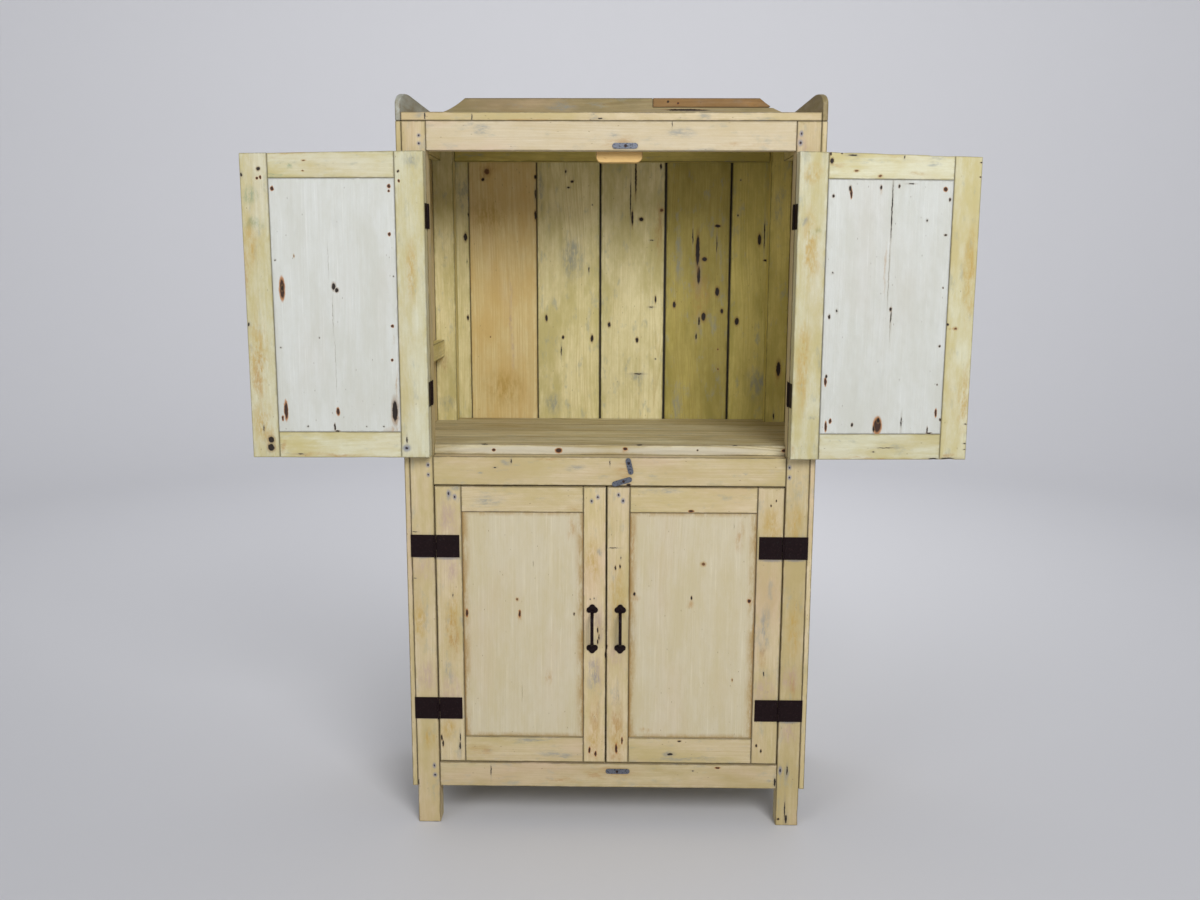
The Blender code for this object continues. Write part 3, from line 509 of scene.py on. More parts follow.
def pine_finish(name, tone, marks=None, rim=False):
    material, shader, wire = new_finish(name)
    place = wire.node("ShaderNodeAttribute", attribute_name="place").outputs["Vector"]
    half = wire.node("ShaderNodeAttribute", attribute_name="half").outputs["Vector"]
    board = wire.node("ShaderNodeAttribute", attribute_name="board").outputs["Fac"]
    inputs = {"Place": place, "Half": half, "Board": board}
    for key, value in zip(TONE_INPUTS, TONES[tone][1:]):
        inputs[key] = srgb(*value) if isinstance(value, tuple) else value
    grain = wire.node("ShaderNodeGroup", inputs, node_tree=OLD_PINE).outputs
    colour, height = grain["Color"], grain["Height"]
    ragged = wire.wander(place, (210.0, 210.0, 120.0), 3.0, 0.6, (RAGGED,) * 3)
    if rim:
        colour = paint_rim(wire, place, half, ragged, colour)
    if marks:
        colour, cut = paint_marks(wire, place, ragged, colour, marks)
        height = wire.math("MULTIPLY_ADD", cut, -1.6, height)
    bump = wire.node("ShaderNodeBump", {"Height": height, "Distance": 0.0006, "Strength": 0.6})
    wire.feed(shader["Base Color"], colour)
    wire.feed(shader["Roughness"], grain["Roughness"])
    wire.feed(shader["Normal"], bump.outputs["Normal"])
    shader["Specular IOR Level"].default_value = 0.35
    return material


SHARED_FINISH = {}


def shared_finish(tone):
    if tone not in SHARED_FINISH:
        SHARED_FINISH[tone] = pine_finish(tone + " pine", tone)
    return SHARED_FINISH[tone]


print("pine finish ready")

# %% [markdown]
# ## A board
#
# A sawn board is never a perfect block: its edges are worn round, and it has dried a little crooked. The
# board helper starts from a cube, scales it to the board's size, eases every edge with a bevel, cuts it
# into short lengths and lets slow noise push them by a few tenths of a millimetre. It also writes
# `place`, `half` and `board` for the grain. Gnawed edges are dents pushed in from one point. A heavy
# door sinks away from its pins, and its top edge was planed to fit again, so the helper can do that too.

# %% Board helpers
noise.seed_set(7)  # without it the noise below would start from the clock, and no two runs would match
JOINT_GAP = 0.0004  # left between two boards that touch
MARK_SKIN = 0.010  # how deep a mark goes into the board, at most
SKIN_SHARE = 0.35  # and as a part of the board's thickness
TOP_PLANED = 0.03  # how far below a door's top edge its planing is spread
STAYS = Matrix.Identity(4)
board_count = 0
nail_heads = []  # (body, place, way out) of each nail, collected while the boards are made


def finish_piece(name, bm, body, material, stands_for=()):
    """Turns a mesh into a piece that rides on a body."""
    bmesh.ops.recalc_face_normals(bm, faces=bm.faces)
    mesh = bpy.data.meshes.new(name)
    bm.to_mesh(mesh)
    bm.free()
    mesh.materials.append(material)
    mesh.shade_smooth()
    piece = bpy.data.objects.new(name, mesh)
    bpy.context.scene.collection.objects.link(piece)
    weighted = piece.modifiers.new("even shading", "WEIGHTED_NORMAL")
    weighted.keep_sharp = True
    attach(piece, body)
    if stands_for:
        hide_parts(*stands_for)
    return piece


def write_place(bm, centre, order):
    """Stores each vertex's own across, depth and along, the board's half size and its number."""
    global board_count
    board_count += 1
    place_layer = bm.verts.layers.float_vector.new("place")
    half_layer = bm.verts.layers.float_vector.new("half")
    number_layer = bm.verts.layers.float.new("board")
    half = Vector([max(abs(vert.co[n] - centre[n]) for vert in bm.verts) for n in order])
    for vert in bm.verts:
        away = vert.co - centre
        vert[place_layer] = [away[n] for n in order]
        vert[half_layer] = half
        vert[number_layer] = float(board_count)


def crook(bm, number, amount):
    """Lets slow noise push the vertices a little."""
    for vert in bm.verts:
        slow = noise.noise_vector(vert.co * 4.0 + Vector((number * 3.7, 0.0, 0.0)))
        quick = noise.noise_vector(vert.co * 45.0 + Vector((0.0, number * 1.9, 0.0)))
        vert.co += slow * amount + quick * amount * 0.35


def dent(bm, dents):
    """Pushes the surface in around each point: (point, radius, push)."""
    for point, radius, push in dents:
        for vert in bm.verts:
            away = Vector(((vert.co - point)[n] / radius[n] for n in range(3))).length
            if away < 1.0:
                vert.co += Vector(push) * (1.0 - away * away) ** 2


def settle(bm, top, pin, reach, sag, trim):
    """Lets a door board sink away from its pin, and planes the door's top edge down to the free side."""
    for vert in bm.verts:
        out = min(abs(vert.co.x - pin) / reach, 1.0)
        near_top = max(0.0, 1.0 - (top - vert.co.z) / TOP_PLANED)
        vert.co.z -= out * (sag + trim * near_top)


def on_face(low, high, right, up, flip):
    """The point of a board's front face at these parts of its width and height; flip is for its back face."""
    size = high - low
    across = 1.0 - right if flip else right
    return Vector((low.x + across * size.x, high.y if flip else low.y, low.z + up * size.z))


def place_marks(marks, low, high, order, flip):
    """The middle and half size of each mark, in metres of the board's own across, depth and along."""
    centre = (low + high) / 2
    skin = min(SKIN_SHARE * (high.y - low.y), MARK_SKIN)
    placed = {kind: [] for kind in marks}
    for kind, spots in marks.items():
        for right, up, half_w, half_h in spots:
            away = on_face(low, high, right, up, flip) - centre
            half = (half_w / 1000, skin, half_h / 1000)
            placed[kind].append(([away[n] for n in order], [half[n] for n in order]))
    return placed


def dress_board(
    bm, name, nodes, body, low, high, along, across, tone,
    marks=None, crooked=0.0003, dents=(), sunk=None, flip=False, pose=STAYS, rim=False,
):
    """Makes a plain block into a board of the cupboard and paints it.

    marks holds a list for each kind, of (right, up, half width, half height): right and up are parts of
    the board as it is seen, and the half sizes are millimetres. flip is for a face seen from inside.
    """
    marks = marks or {}
    order = (across, 3 - across - along, along)
    write_place(bm, (low + high) / 2, order)
    crook(bm, board_count, crooked)
    dent(bm, [(low + Vector(at), radius, push) for at, radius, push in dents])
    if sunk:
        settle(bm, *sunk)
    bmesh.ops.transform(bm, matrix=pose, verts=bm.verts)
    out = pose.to_3x3() @ Vector((0.0, 1.0 if flip else -1.0, 0.0))
    for right, up, _, _ in marks.get("nail", ()):
        nail_heads.append((body, pose @ on_face(low, high, right, up, flip), out))
    material = shared_finish(tone)
    if marks or rim:
        placed = place_marks(marks, low, high, order, flip)
        material = pine_finish(name.replace("_", " ") + " pine", tone, placed, rim)
    return finish_piece(name, bm, body, material, nodes)


def board(name, node, body, low, high, along, tone, ease=0.0014, cell=0.04, **dressing):
    """One board from corner to corner, with its grain along one axis."""
    low, high = Vector(low), Vector(high)
    size = high - low
    across = max((n for n in range(3) if n != along), key=lambda n: size[n])
    bm = bmesh.new()
    bmesh.ops.create_cube(bm, size=1.0)
    bmesh.ops.scale(bm, vec=size, verts=bm.verts)
    bmesh.ops.translate(bm, vec=(low + high) / 2, verts=bm.verts)
    bmesh.ops.bevel(bm, geom=bm.edges[:], offset=ease, segments=2, profile=0.5, affect="EDGES", material=-1)
    for axis in (along, across):
        long_edges = [
            edge for edge in bm.edges
            if abs((edge.verts[0].co - edge.verts[1].co)[axis]) > 0.6 * size[axis]
        ]
        cuts = int(size[axis] / cell)
        if cuts:
            bmesh.ops.subdivide_edges(bm, edges=long_edges, cuts=cuts, use_grid_fill=True)
    nodes = (node,) if node else ()
    return dress_board(bm, name, nodes, body, low, high, along, across, tone, **dressing)


print("board helper ready")

# %% [markdown]
# ## Posts and rails of the front
#
# The front of the cupboard is a frame: two posts from the floor to the top and three rails between them.
# On the real piece each rail's tenon is nailed through the post, so the posts carry pairs of nail heads
# with a blue-grey bloom. The rails' tenons are hidden, so here each rail simply runs from post to post.

# %% Front posts
LEFT_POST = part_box("front_left_post")
RIGHT_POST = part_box("front_right_post")
POST_MARKS = {
    "front_left_post": {
        "nail": [
            (0.72, 0.981, 2, 2), (0.72, 0.971, 2, 2), (0.79, 0.536, 2, 2.8), (0.79, 0.522, 2, 2.4),
            (0.76, 0.0885, 2, 3.2), (0.78, 0.074, 2.4, 2.8),
        ],
        "crack": [(0.14, 0.44, 6, 1), (0.1, 0.372, 4, 0.8), (0.04, 0.062, 1.2, 9)],
        "smear": [(0.5, 0.4035, 22, 3.5), (0.6, 0.163, 22, 4)],
        "mauve": [(0.6, 0.385, 22, 30), (0.55, 0.225, 24, 46)],
        "ochre": [(0.3, 0.31, 16, 60), (0.5, 0.13, 18, 30)],
        "stain": [(0.5, 0.7, 16, 60)],
    },
    "front_right_post": {
        "nail": [
            (0.18, 0.984, 2, 3), (0.15, 0.972, 2.4, 3.2), (0.13, 0.535, 2, 2.6), (0.14, 0.521, 2, 2.6),
            (0.15, 0.086, 2.2, 5),
        ],
        "crack": [(0.46, 0.086, 1.8, 13), (0.4, 0.025, 1.6, 24), (0.47, 0.01, 3.4, 12)],
        "bruise": [(0.46, 0.08, 7, 22), (0.15, 0.074, 5, 12)],
        "hole": [(0.12, 0.01, 3, 3)],
        "smear": [(0.5, 0.402, 22, 3.5), (0.45, 0.161, 22, 4)],
        "mauve": [(0.45, 0.145, 22, 30), (0.5, 0.225, 22, 34), (0.2, 0.97, 10, 30)],
        "ochre": [(0.55, 0.3, 18, 80), (0.45, 0.455, 18, 50)],
        "stain": [(0.55, 0.215, 9, 36)],
    },
}
for post, marks in POST_MARKS.items():
    low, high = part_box(post)
    worn_foot = ((high.x - low.x, 0.0, 0.030), (0.012, 0.030, 0.030), (-0.0012, 0.0, 0.0))
    # the right post takes the darker copy of the outside tone, a painted shade
    tone = "outside" if "left" in post else "outside dim"
    board(post, post, "carcass", low, high, 2, tone, marks=marks, ease=0.0022, cell=0.03, dents=[worn_foot])

print(board_count, "posts, each", round(LEFT_POST[1].x - LEFT_POST[0].x, 3), "m wide")

# %% Front rails
# the bottom rail takes the darker copy of the outside tone: painted shade, as the front darkens towards the
# floor
RAIL_TONES = {"top_rail": "outside pale", "middle_rail": "outside", "bottom_rail": "outside dim"}
RAIL_MARKS = {
    "top_rail": {
        "bruise": [
            (0.15, 0.72, 22, 12), (0.115, 0.9, 9, 5), (0.69, 0.62, 30, 12), (0.505, 0.55, 16, 9),
            (0.74, 0.05, 40, 4),
        ],
        "crack": [(0.665, 0.9, 0.9, 7)],
        "stain": [(0.525, 0.24, 40, 17), (0.86, 0.22, 60, 6)],
    },
    "middle_rail": {
        "bruise": [(0.205, 0.8, 15, 8), (0.885, 0.44, 7, 2), (0.4, 0.62, 24, 8), (0.135, 0.42, 10, 3)],
        "crack": [(0.222, 0.84, 1.6, 6), (0.176, 0.62, 3.6, 1.6), (0.502, 0.8, 1.3, 6)],
        "stain": [(0.545, 0.45, 26, 30), (0.35, 0.93, 60, 3)],
        "hole": [(0.555, 0.04, 5, 3)],
    },
    "bottom_rail": {
        "crack": [(0.152, 0.66, 1.2, 14), (0.752, 0.72, 2.6, 1.6), (0.995, 0.28, 2.6, 12)],
        "stain": [(0.52, 0.62, 62, 22), (0.46, 0.5, 30, 14), (0.36, 0.3, 60, 6)],
        "rust": [(0.825, 0.86, 6.5, 2.6)],
        "bruise": [(0.97, 0.3, 9, 5)],
    },
}
for rail, marks in RAIL_MARKS.items():
    low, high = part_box(rail)
    low.x = LEFT_POST[1].x + JOINT_GAP
    high.x = RIGHT_POST[0].x - JOINT_GAP
    board(rail, rail, "carcass", low, high, 0, RAIL_TONES[rail], marks=marks, ease=0.0018)
print("front frame:", board_count, "boards")

# %% [markdown]
# ## Rear frame
#
# Behind the front frame stand two back posts, joined by rails across the back and along the sides. The CAD
# keeps them as one solid. Here each is a board of its own, so that its grain runs along its length.

# %% Rear posts and rails
rear_low, rear_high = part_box("rear_frame")
POST_DEEP = LEFT_POST[1].y - LEFT_POST[0].y
POST_WIDE = LEFT_POST[1].x - LEFT_POST[0].x
RAIL_THICK = 0.024
TOP_RAIL_RAISED = 0.012  # the rear top rails start this much higher than the front one
rear_y = rear_high.y
REAR_POST_MARKS = {
    "left": {"stain": [(0.4, 0.66, 12, 40)], "bruise": [(0.5, 0.59, 20, 20)]},
    "right": {
        "hole": [(0.62, 0.648, 6, 21)],
        "stain": [(0.62, 0.64, 11, 34)],
        "crack": [(0.45, 0.572, 2, 9)],
        "bruise": [(0.4, 0.9, 16, 50)],
    },
}
for hand, side in (("left", -1), ("right", 1)):
    outer, inner = side * rear_high.x, side * (rear_high.x - POST_WIDE)
    low = (min(outer, inner), rear_y - POST_DEEP, 0.0)
    high = (max(outer, inner), rear_y, rear_high.z)
    name = f"rear_{hand}_post"
    tone = "inside" if hand == "left" else "inside moss"
    board(name, "rear_frame", "carcass", low, high, 2, tone, marks=REAR_POST_MARKS[hand], ease=0.002)

RAIL_HEIGHTS = {rail: (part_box(rail)[0].z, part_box(rail)[1].z) for rail in RAIL_MARKS}
inner = rear_high.x - POST_WIDE - JOINT_GAP
for rail, (foot, head) in RAIL_HEIGHTS.items():
    foot += TOP_RAIL_RAISED if rail == "top_rail" else 0.0
    low, high = (-inner, rear_y - RAIL_THICK, foot), (inner, rear_y, head)
    board("rear_" + rail, None, "carcass", low, high, 0, "inside moss")
    for hand, side in (("left", -1), ("right", 1)):
        xs = sorted((side * rear_high.x, side * (rear_high.x - RAIL_THICK)))
        ys = (LEFT_POST[1].y + JOINT_GAP, rear_y - POST_DEEP - JOINT_GAP)
        name = f"{hand}_side_{rail}"
        board(name, None, "carcass", (xs[0], ys[0], foot), (xs[1], ys[1], head), 1, "inside")
print("with the rear frame:", board_count, "boards")

# %% [markdown]
# ## Boards of the back
#
# The back is six upright boards. They have shrunk apart, so three of the joints stand open by about five
# millimetres and look black. The tongue in each joint is coloured near black, a painted shade for the deep
# shade inside the open joint. The boards are the most marked of all: knots, old nail holes and a long split.
# The CAD back is one panel with even joints, so this is where the visible boards take their true widths.

# %% Joints and marks of the back
BACK_JOINTS = (-0.3945, -0.2070, -0.0310, 0.1490, 0.3290)
BACK_OPEN = (0.0012, 0.0022, 0.0044, 0.0052, 0.0050)
# the fifth board has the darker moss tone, a painted shade
BACK_TONES = ("inside", "inside orange", "inside", "inside", "inside olive", "inside moss")
TONGUE_WIDE = 0.007
TONGUE_IN = 0.0055  # how far a tongue lies behind the boards' faces
TONGUE_THICK = 0.0035
TONGUE_SHORT = 0.002  # how far it stops short of the boards' ends
SEEN_FOOT = 0.984  # the shelf's upper face
SEEN_HEAD = 1.692  # the highest part that shows below the top rail
back_low, back_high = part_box("back_boards")


def seen(marks):
    """Marks given by height between the shelf and the top rail, turned into parts of the whole board."""
    stretch, whole = SEEN_HEAD - SEEN_FOOT, back_high.z - back_low.z
    return {
        kind: [(right, (SEEN_FOOT + up * stretch - back_low.z) / whole, w, h) for right, up, w, h in spots]
        for kind, spots in marks.items()
    }


BACK_MARKS = (
    {
        "hole": [(0.9, 0.715, 5, 11), (0.93, 0.4, 3, 7)],
        "crack": [(0.93, 0.62, 1, 4), (0.985, 0.8, 1.5, 6)],
        "bruise": [(0.9, 0.88, 20, 60)],
    },
    {
        "knot": [(0.27, 0.965, 9, 10), (0.29, 0.325, 2, 2)],
        "hole": [(0.21, 0.935, 4, 4), (0.985, 0.945, 3, 5), (0.985, 0.8, 3, 12)],
        "stain": [(0.28, 0.975, 26, 16), (0.22, 0.945, 16, 14)],
        "crack": [(0.985, 0.88, 2, 14)],
        "mauve": [(0.6, 0.42, 5, 110), (0.62, 0.28, 7, 60)],
        "ochre": [(0.3, 0.8, 50, 60), (0.5, 0.12, 60, 50)],
    },
    {
        "hole": [(0.56, 0.928, 4, 3.4), (0.14, 0.4, 3.4, 9), (0.41, 0.325, 3.4, 5), (0.88, 0.32, 4, 10)],
        "crack": [
            (0.46, 0.965, 2, 5), (0.5, 0.905, 4, 2.2), (0.83, 0.59, 1.6, 8), (0.38, 0.27, 1.6, 14),
            (0.88, 0.84, 1.5, 2),
        ],
        "bruise": [(0.06, 0.9, 8, 60), (0.55, 0.64, 30, 60), (0.25, 0.06, 24, 30)],
    },
    {
        "hole": [
            (0.54, 0.945, 2.6, 46), (0.49, 0.79, 2.6, 20), (0.63, 0.785, 6, 5.4), (0.93, 0.985, 2.4, 7),
            (0.87, 0.475, 2.4, 10), (0.13, 0.375, 4, 7), (0.58, 0.315, 4, 7),
        ],
        "crack": [
            (0.46, 0.86, 1.5, 52), (0.8, 0.705, 5, 1.6), (0.8, 0.445, 6, 1.8), (0.6, 0.18, 13, 2),
            (0.88, 0.24, 1.8, 1.8),
        ],
        "knot": [(0.95, 0.82, 6, 6)],
        "bruise": [(0.6, 0.17, 22, 12)],
        "stain": [(0.92, 0.75, 12, 90)],
    },
    {
        "hole": [
            (0.5, 0.665, 5.4, 43), (0.61, 0.632, 7, 6), (0.81, 0.76, 8, 4), (0.82, 0.506, 6, 12),
            (0.14, 0.455, 4.4, 9), (0.61, 0.408, 6, 12), (0.9, 0.43, 4, 7),
        ],
        "crack": [
            (0.52, 0.57, 5, 26), (0.8, 0.69, 1.2, 24), (0.42, 0.72, 1.4, 22), (0.54, 0.39, 3, 12),
            (0.5, 0.33, 2.4, 9),
        ],
        "stain": [(0.55, 0.5, 26, 90)],
        "bruise": [(0.2, 0.62, 12, 60), (0.2, 0.05, 12, 60)],
        "knot": [(0.85, 0.28, 2.4, 3), (0.86, 0.2, 2.4, 3.6)],
    },
    {
        "hole": [(0.46, 0.708, 5, 15), (0.57, 0.628, 6, 2.6), (0.12, 0.39, 6, 10)],
        "crack": [(0.54, 0.725, 1.6, 42), (0.62, 0.84, 1.4, 90), (0.13, 0.935, 2, 2), (0.1, 0.8, 2, 3)],
        "bruise": [(0.5, 0.14, 36, 50)],
    },
)
print("back boards between", round(back_low.x, 3), "and", round(back_high.x, 3), "m")

# %% Back boards
back_edges = (back_low.x, *BACK_JOINTS, back_high.x)
for n, marks in enumerate(BACK_MARKS):
    left_gap = BACK_OPEN[n - 1] / 2 if n else 0.0
    right_gap = BACK_OPEN[n] / 2 if n < len(BACK_OPEN) else 0.0
    low = (back_edges[n] + left_gap, back_low.y, back_low.z)
    high = (back_edges[n + 1] - right_gap, back_high.y, back_high.z)
    name = f"back_board_{n + 1}"
    board(name, "back_boards", "carcass", low, high, 2, BACK_TONES[n], marks=seen(marks), ease=0.0010)
for n, joint in enumerate(BACK_JOINTS):
    face = back_low.y + TONGUE_IN
    low = (joint - TONGUE_WIDE / 2, face, back_low.z + TONGUE_SHORT)
    high = (joint + TONGUE_WIDE / 2, face + TONGUE_THICK, back_high.z - TONGUE_SHORT)
    # the tongues are coloured near black, a painted shade for the shade inside the open joints
    board(f"back_tongue_{n + 1}", None, "carcass", low, high, 2, "painted shade in gap", ease=0.0004, crooked=0.0)
print("with the back:", board_count, "boards")

# %% [markdown]
# ## Sides and decks
#
# Each side is made of four upright boards that hide the posts. The shelf and the floor run from side to
# side in four boards, and the front and back ones are notched round the posts. A notched board can't
# come from a cube, so its outline is drawn as one face, pulled up to its thickness and eased.


# %% Shaped board helper
SHARP_FOLD = 0.35  # faces that meet at more than this angle get an eased edge


def shaped_board(name, node, body, outline, thick, along, across, tone, ease=0.0012, cell=0.04, marks=None):
    """A board from a flat outline: the outline's points, and thick as the vector to its other face."""
    bm = bmesh.new()
    bm.faces.new([bm.verts.new(point) for point in outline])
    pulled = bmesh.ops.extrude_face_region(bm, geom=bm.faces[:])["geom"]
    moved = [item for item in pulled if isinstance(item, bmesh.types.BMVert)]
    bmesh.ops.translate(bm, vec=Vector(thick), verts=moved)
    bmesh.ops.recalc_face_normals(bm, faces=bm.faces)
    edges = [edge for edge in bm.edges if edge.calc_face_angle(0.0) > SHARP_FOLD]
    bmesh.ops.bevel(bm, geom=edges, offset=ease, segments=2, profile=0.5, affect="EDGES", material=-1)
    places = [[vert.co[n] for vert in bm.verts] for n in range(3)]
    low, high = Vector(map(min, places)), Vector(map(max, places))
    way = Vector([float(n == along) for n in range(3)])
    for cut in range(1, int((high - low)[along] / cell)):
        everything = bm.verts[:] + bm.edges[:] + bm.faces[:]
        bmesh.ops.bisect_plane(bm, geom=everything, plane_co=low + way * cut * cell, plane_no=way)
    return dress_board(
        bm, name, (node,), body, low, high, along, across, tone, marks=marks, crooked=0.0002
    )


print("shaped board helper ready")

# %% Side boards and decks
SIDE_BOARD_COUNT = 4
for hand in ("left", "right"):
    node = f"{hand}_side_board"
    low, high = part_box(node)
    wide = (high.y - low.y) / SIDE_BOARD_COUNT
    for n in range(SIDE_BOARD_COUNT):
        board_low = (low.x, low.y + n * wide + (JOINT_GAP if n else 0.0), low.z)
        board_high = (high.x, low.y + (n + 1) * wide - JOINT_GAP, high.z)
        board(f"{node}_{n + 1}", node, "carcass", board_low, board_high, 2, "outside", ease=0.0014)

DECK_BOARD_COUNT = 4
SHELF_EDGE_MARKS = {
    "hole": [(0.053, 0.5, 2.6, 2.6), (0.722, 0.5, 2.2, 2.2)],
    "rust": [(0.208, 0.42, 4, 3.4), (0.372, 0.42, 8, 6), (0.54, 0.6, 5.5, 4), (0.938, 0.52, 5, 4)],
    "stain": [(0.54, 0.45, 10, 8), (0.945, 0.45, 14, 8)],
    "crack": [(0.955, 0.14, 16, 2), (0.185, 0.97, 10, 1.2), (0.575, 0.97, 9, 1.2), (0.815, 0.97, 7, 1)],
    "bleach": [(0.3, 0.42, 230, 11), (0.7, 0.42, 230, 11)],
    "bruise": [(0.03, 0.5, 26, 14), (0.975, 0.5, 20, 14)],
}
for deck in ("shelf_deck", "floor_deck"):
    low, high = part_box(deck)
    wall, notch = high.x, -LEFT_POST[1].x - JOINT_GAP
    front_notch, back_notch = LEFT_POST[1].y + JOINT_GAP, rear_y - POST_DEEP - JOINT_GAP
    deep = (high.y - low.y) / DECK_BOARD_COUNT
    for n in range(DECK_BOARD_COUNT):
        front = low.y + n * deep + (JOINT_GAP if n else 0.0)
        back = low.y + (n + 1) * deep - JOINT_GAP
        if n == 0:
            half_outline = [(notch, front), (notch, front_notch), (wall, front_notch), (wall, back)]
        elif n == DECK_BOARD_COUNT - 1:
            half_outline = [(wall, front), (wall, back_notch), (notch, back_notch), (notch, back)]
        else:
            half_outline = [(wall, front), (wall, back)]
        outline = [(x, y, low.z) for x, y in half_outline] + [(-x, y, low.z) for x, y in half_outline[::-1]]
        marks = SHELF_EDGE_MARKS if deck == "shelf_deck" and n == 0 else None
        up = (0.0, 0.0, high.z - low.z)
        shaped_board(f"{deck}_board_{n + 1}", deck, "carcass", outline, up, 0, 1, "shelf", marks=marks)
print("with sides and decks:", board_count, "boards")

# %% [markdown]
# ## Top board, gallery and ears
#
# The top has a low gallery on three sides, to stop things rolling off. Its back board has a hollow curve
# at each end, and the right half of its edge was once broken and mended with a strip of browner wood. The
# two side ears rise in a quarter curve behind a small step. Their outlines are drawn point by point
# along those curves, in the same way as the notched boards.

# %% Top board and gallery
TOP_MARKS = {
    "crack": [(0.058, 0.5, 1.4, 9), (0.17, 0.4, 1.2, 7), (0.475, 0.24, 6, 1.6)],
    "bruise": [(0.04, 0.55, 11, 6), (0.455, 0.5, 10, 8), (0.72, 0.45, 16, 9), (0.86, 0.2, 30, 5)],
    "stain": [(0.3, 0.1, 60, 3)],
}
low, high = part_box("top_board")
board("top_board", "top_board", "carcass", low, high, 0, "outside", marks=TOP_MARKS, ease=0.0020)

gallery_low, gallery_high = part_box("gallery_back")
strip_low, strip_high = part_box("gallery_repair_strip")
EAR_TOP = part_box("left_ear")[1].z
KNEE_IN = 0.087  # how far in from the end the hollow curve starts
HOLLOW = 1.8  # the curve's power
CURVE_STEPS = 12


def gallery_edge(x):
    """Height of the gallery's edge: flat, with a hollow curve down to each ear."""
    part = min(max((gallery_high.x - abs(x)) / KNEE_IN, 0.0), 1.0)
    return EAR_TOP + (gallery_high.z - EAR_TOP) * part**HOLLOW


knee = gallery_high.x - KNEE_IN
curve = [knee + KNEE_IN * n / CURVE_STEPS for n in range(CURVE_STEPS + 1)]
y = gallery_low.y
cut = strip_low.z - JOINT_GAP
outline = [(-x, y, gallery_edge(x)) for x in reversed(curve)]
outline += [(strip_low.x - JOINT_GAP, y, gallery_high.z), (strip_low.x - JOINT_GAP, y, cut)]
outline += [(strip_high.x, y, cut)]
outline += [(x, y, gallery_edge(x)) for x in curve if gallery_edge(x) < cut - 0.0005]
outline += [(gallery_high.x, y, gallery_low.z), (-gallery_high.x, y, gallery_low.z)]
GALLERY_MARKS = {
    "bruise": [(0.36, 0.75, 40, 14), (0.16, 0.5, 34, 14)],
    "stain": [(0.22, 0.45, 60, 18)],
    "crack": [(0.71, 0.66, 60, 2.2)],
    "hole": [(0.7, 0.68, 46, 1.6)],
}
back = (0.0, gallery_high.y - y, 0.0)
shaped_board(
    "gallery_back", "gallery_back", "carcass", outline, back, 0, 2, "gallery",
    marks=GALLERY_MARKS, ease=0.0018,
)
outline = [(strip_low.x, y, strip_low.z), (strip_low.x, y, gallery_high.z)]
outline += [(x, y, gallery_edge(x)) for x in curve if gallery_edge(x) > strip_low.z + 0.001]
outline += [(strip_high.x, y, strip_low.z)]
STRIP_MARKS = {
    "hole": [(0.13, 0.6, 3.6, 3)],
    "rust": [(0.215, 0.45, 4, 3)],
    "stain": [(0.85, 0.4, 40, 9)],
}
shaped_board(
    "gallery_repair_strip", "gallery_repair_strip", "carcass", outline, back, 0, 2, "repair",
    marks=STRIP_MARKS, ease=0.0016,
)

print("gallery is", round(gallery_high.z - EAR_TOP, 4), "m higher than the ears")

# %% Ears
EAR_STEP = 0.018
EAR_CURVE = 0.130  # how far back the quarter curve reaches
EAR_STEPS = 10
for hand in ("left", "right"):
    node = f"{hand}_ear"
    low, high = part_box(node)
    step_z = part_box("top_board")[1].z + EAR_STEP
    outline = [(low.x, low.y, low.z), (low.x, low.y, step_z)]
    for n in range(1, EAR_STEPS + 1):
        angle = math.pi / 2 * n / EAR_STEPS
        rise = (high.z - step_z) * math.sin(angle)
        outline.append((low.x, low.y + EAR_CURVE * (1 - math.cos(angle)), step_z + rise))
    outline += [(low.x, high.y, high.z), (low.x, high.y, low.z)]
    tone = "weathered" if node == "left_ear" else "gallery"
    shaped_board(node, node, "carcass", outline, (high.x - low.x, 0.0, 0.0), 1, 2, tone, ease=0.002)
print("with the top:", board_count, "boards")

# %% [markdown]
# ## Stop block and bearer
#
# The upper doors close against a block behind the top rail. It is a later repair, so it is bright orange
# pine. Inside, one sawn-off bearer is all that is left of a small shelf.

# %% Stop block and bearer
low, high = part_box("door_stop_block")
corner = 0.012
outline = [
    (low.x, low.y, high.z), (low.x, low.y, low.z + corner),
    (low.x + 0.4 * corner, low.y, low.z + 0.3 * corner),
    (low.x + corner, low.y, low.z), (high.x - corner, low.y, low.z),
    (high.x - 0.3 * corner, low.y, low.z + 0.5 * corner), (high.x, low.y, low.z + corner),
    (high.x, low.y, high.z),
]
shaped_board(
    "door_stop_block", "door_stop_block", "carcass", outline, (0.0, high.y - low.y, 0.0), 0, 2, "new block",
    ease=0.0022, marks={"stain": [(0.24, 0.22, 5, 3)]},
)
low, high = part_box("left_shelf_bearer")
board(
    "left_shelf_bearer", "left_shelf_bearer", "carcass", low, high, 1, "inside", ease=0.002,
    marks={
        "hole": [(0.3, 0.28, 2.4, 2.4), (0.75, 0.72, 2.2, 2.6), (0.45, 0.62, 1.6, 2), (0.62, 0.42, 1.4, 1.8)],
    },
)
print("with block and bearer:", board_count, "boards")

# %% [markdown]
# ## Four doors
#
# Each door is a frame of two stiles and two rails round a solid panel. The upper doors are open, turned
# right round on their hinges, but a door is far easier to build shut. So every board is made in the shut
# place, and `pose` then turns it on the hinge's pin by the joint's own angle. The lower doors are shut
# already and need no turn. The marks of the upper doors are on the inner faces, which show when open.
# Their edges are gnawed here and there, and both doors have sunk a little and been planed to fit again.


# %% Helpers for doors
def turn_on_pin(joint, degrees):
    pin = Matrix.Translation(joint["pos_m"])
    return pin @ Matrix.Rotation(math.radians(degrees), 4, Vector(joint["axis"])) @ pin.inverted()


def shut_box(node, to_shut):
    """A door node's corners once its door is shut."""
    points = [to_shut @ vert.co for vert in frame["nodes"][node].data.vertices]
    low = Vector([min(point[n] for point in points) for n in range(3)])
    high = Vector([max(point[n] for point in points) for n in range(3)])
    return low, high


print("door helpers ready")

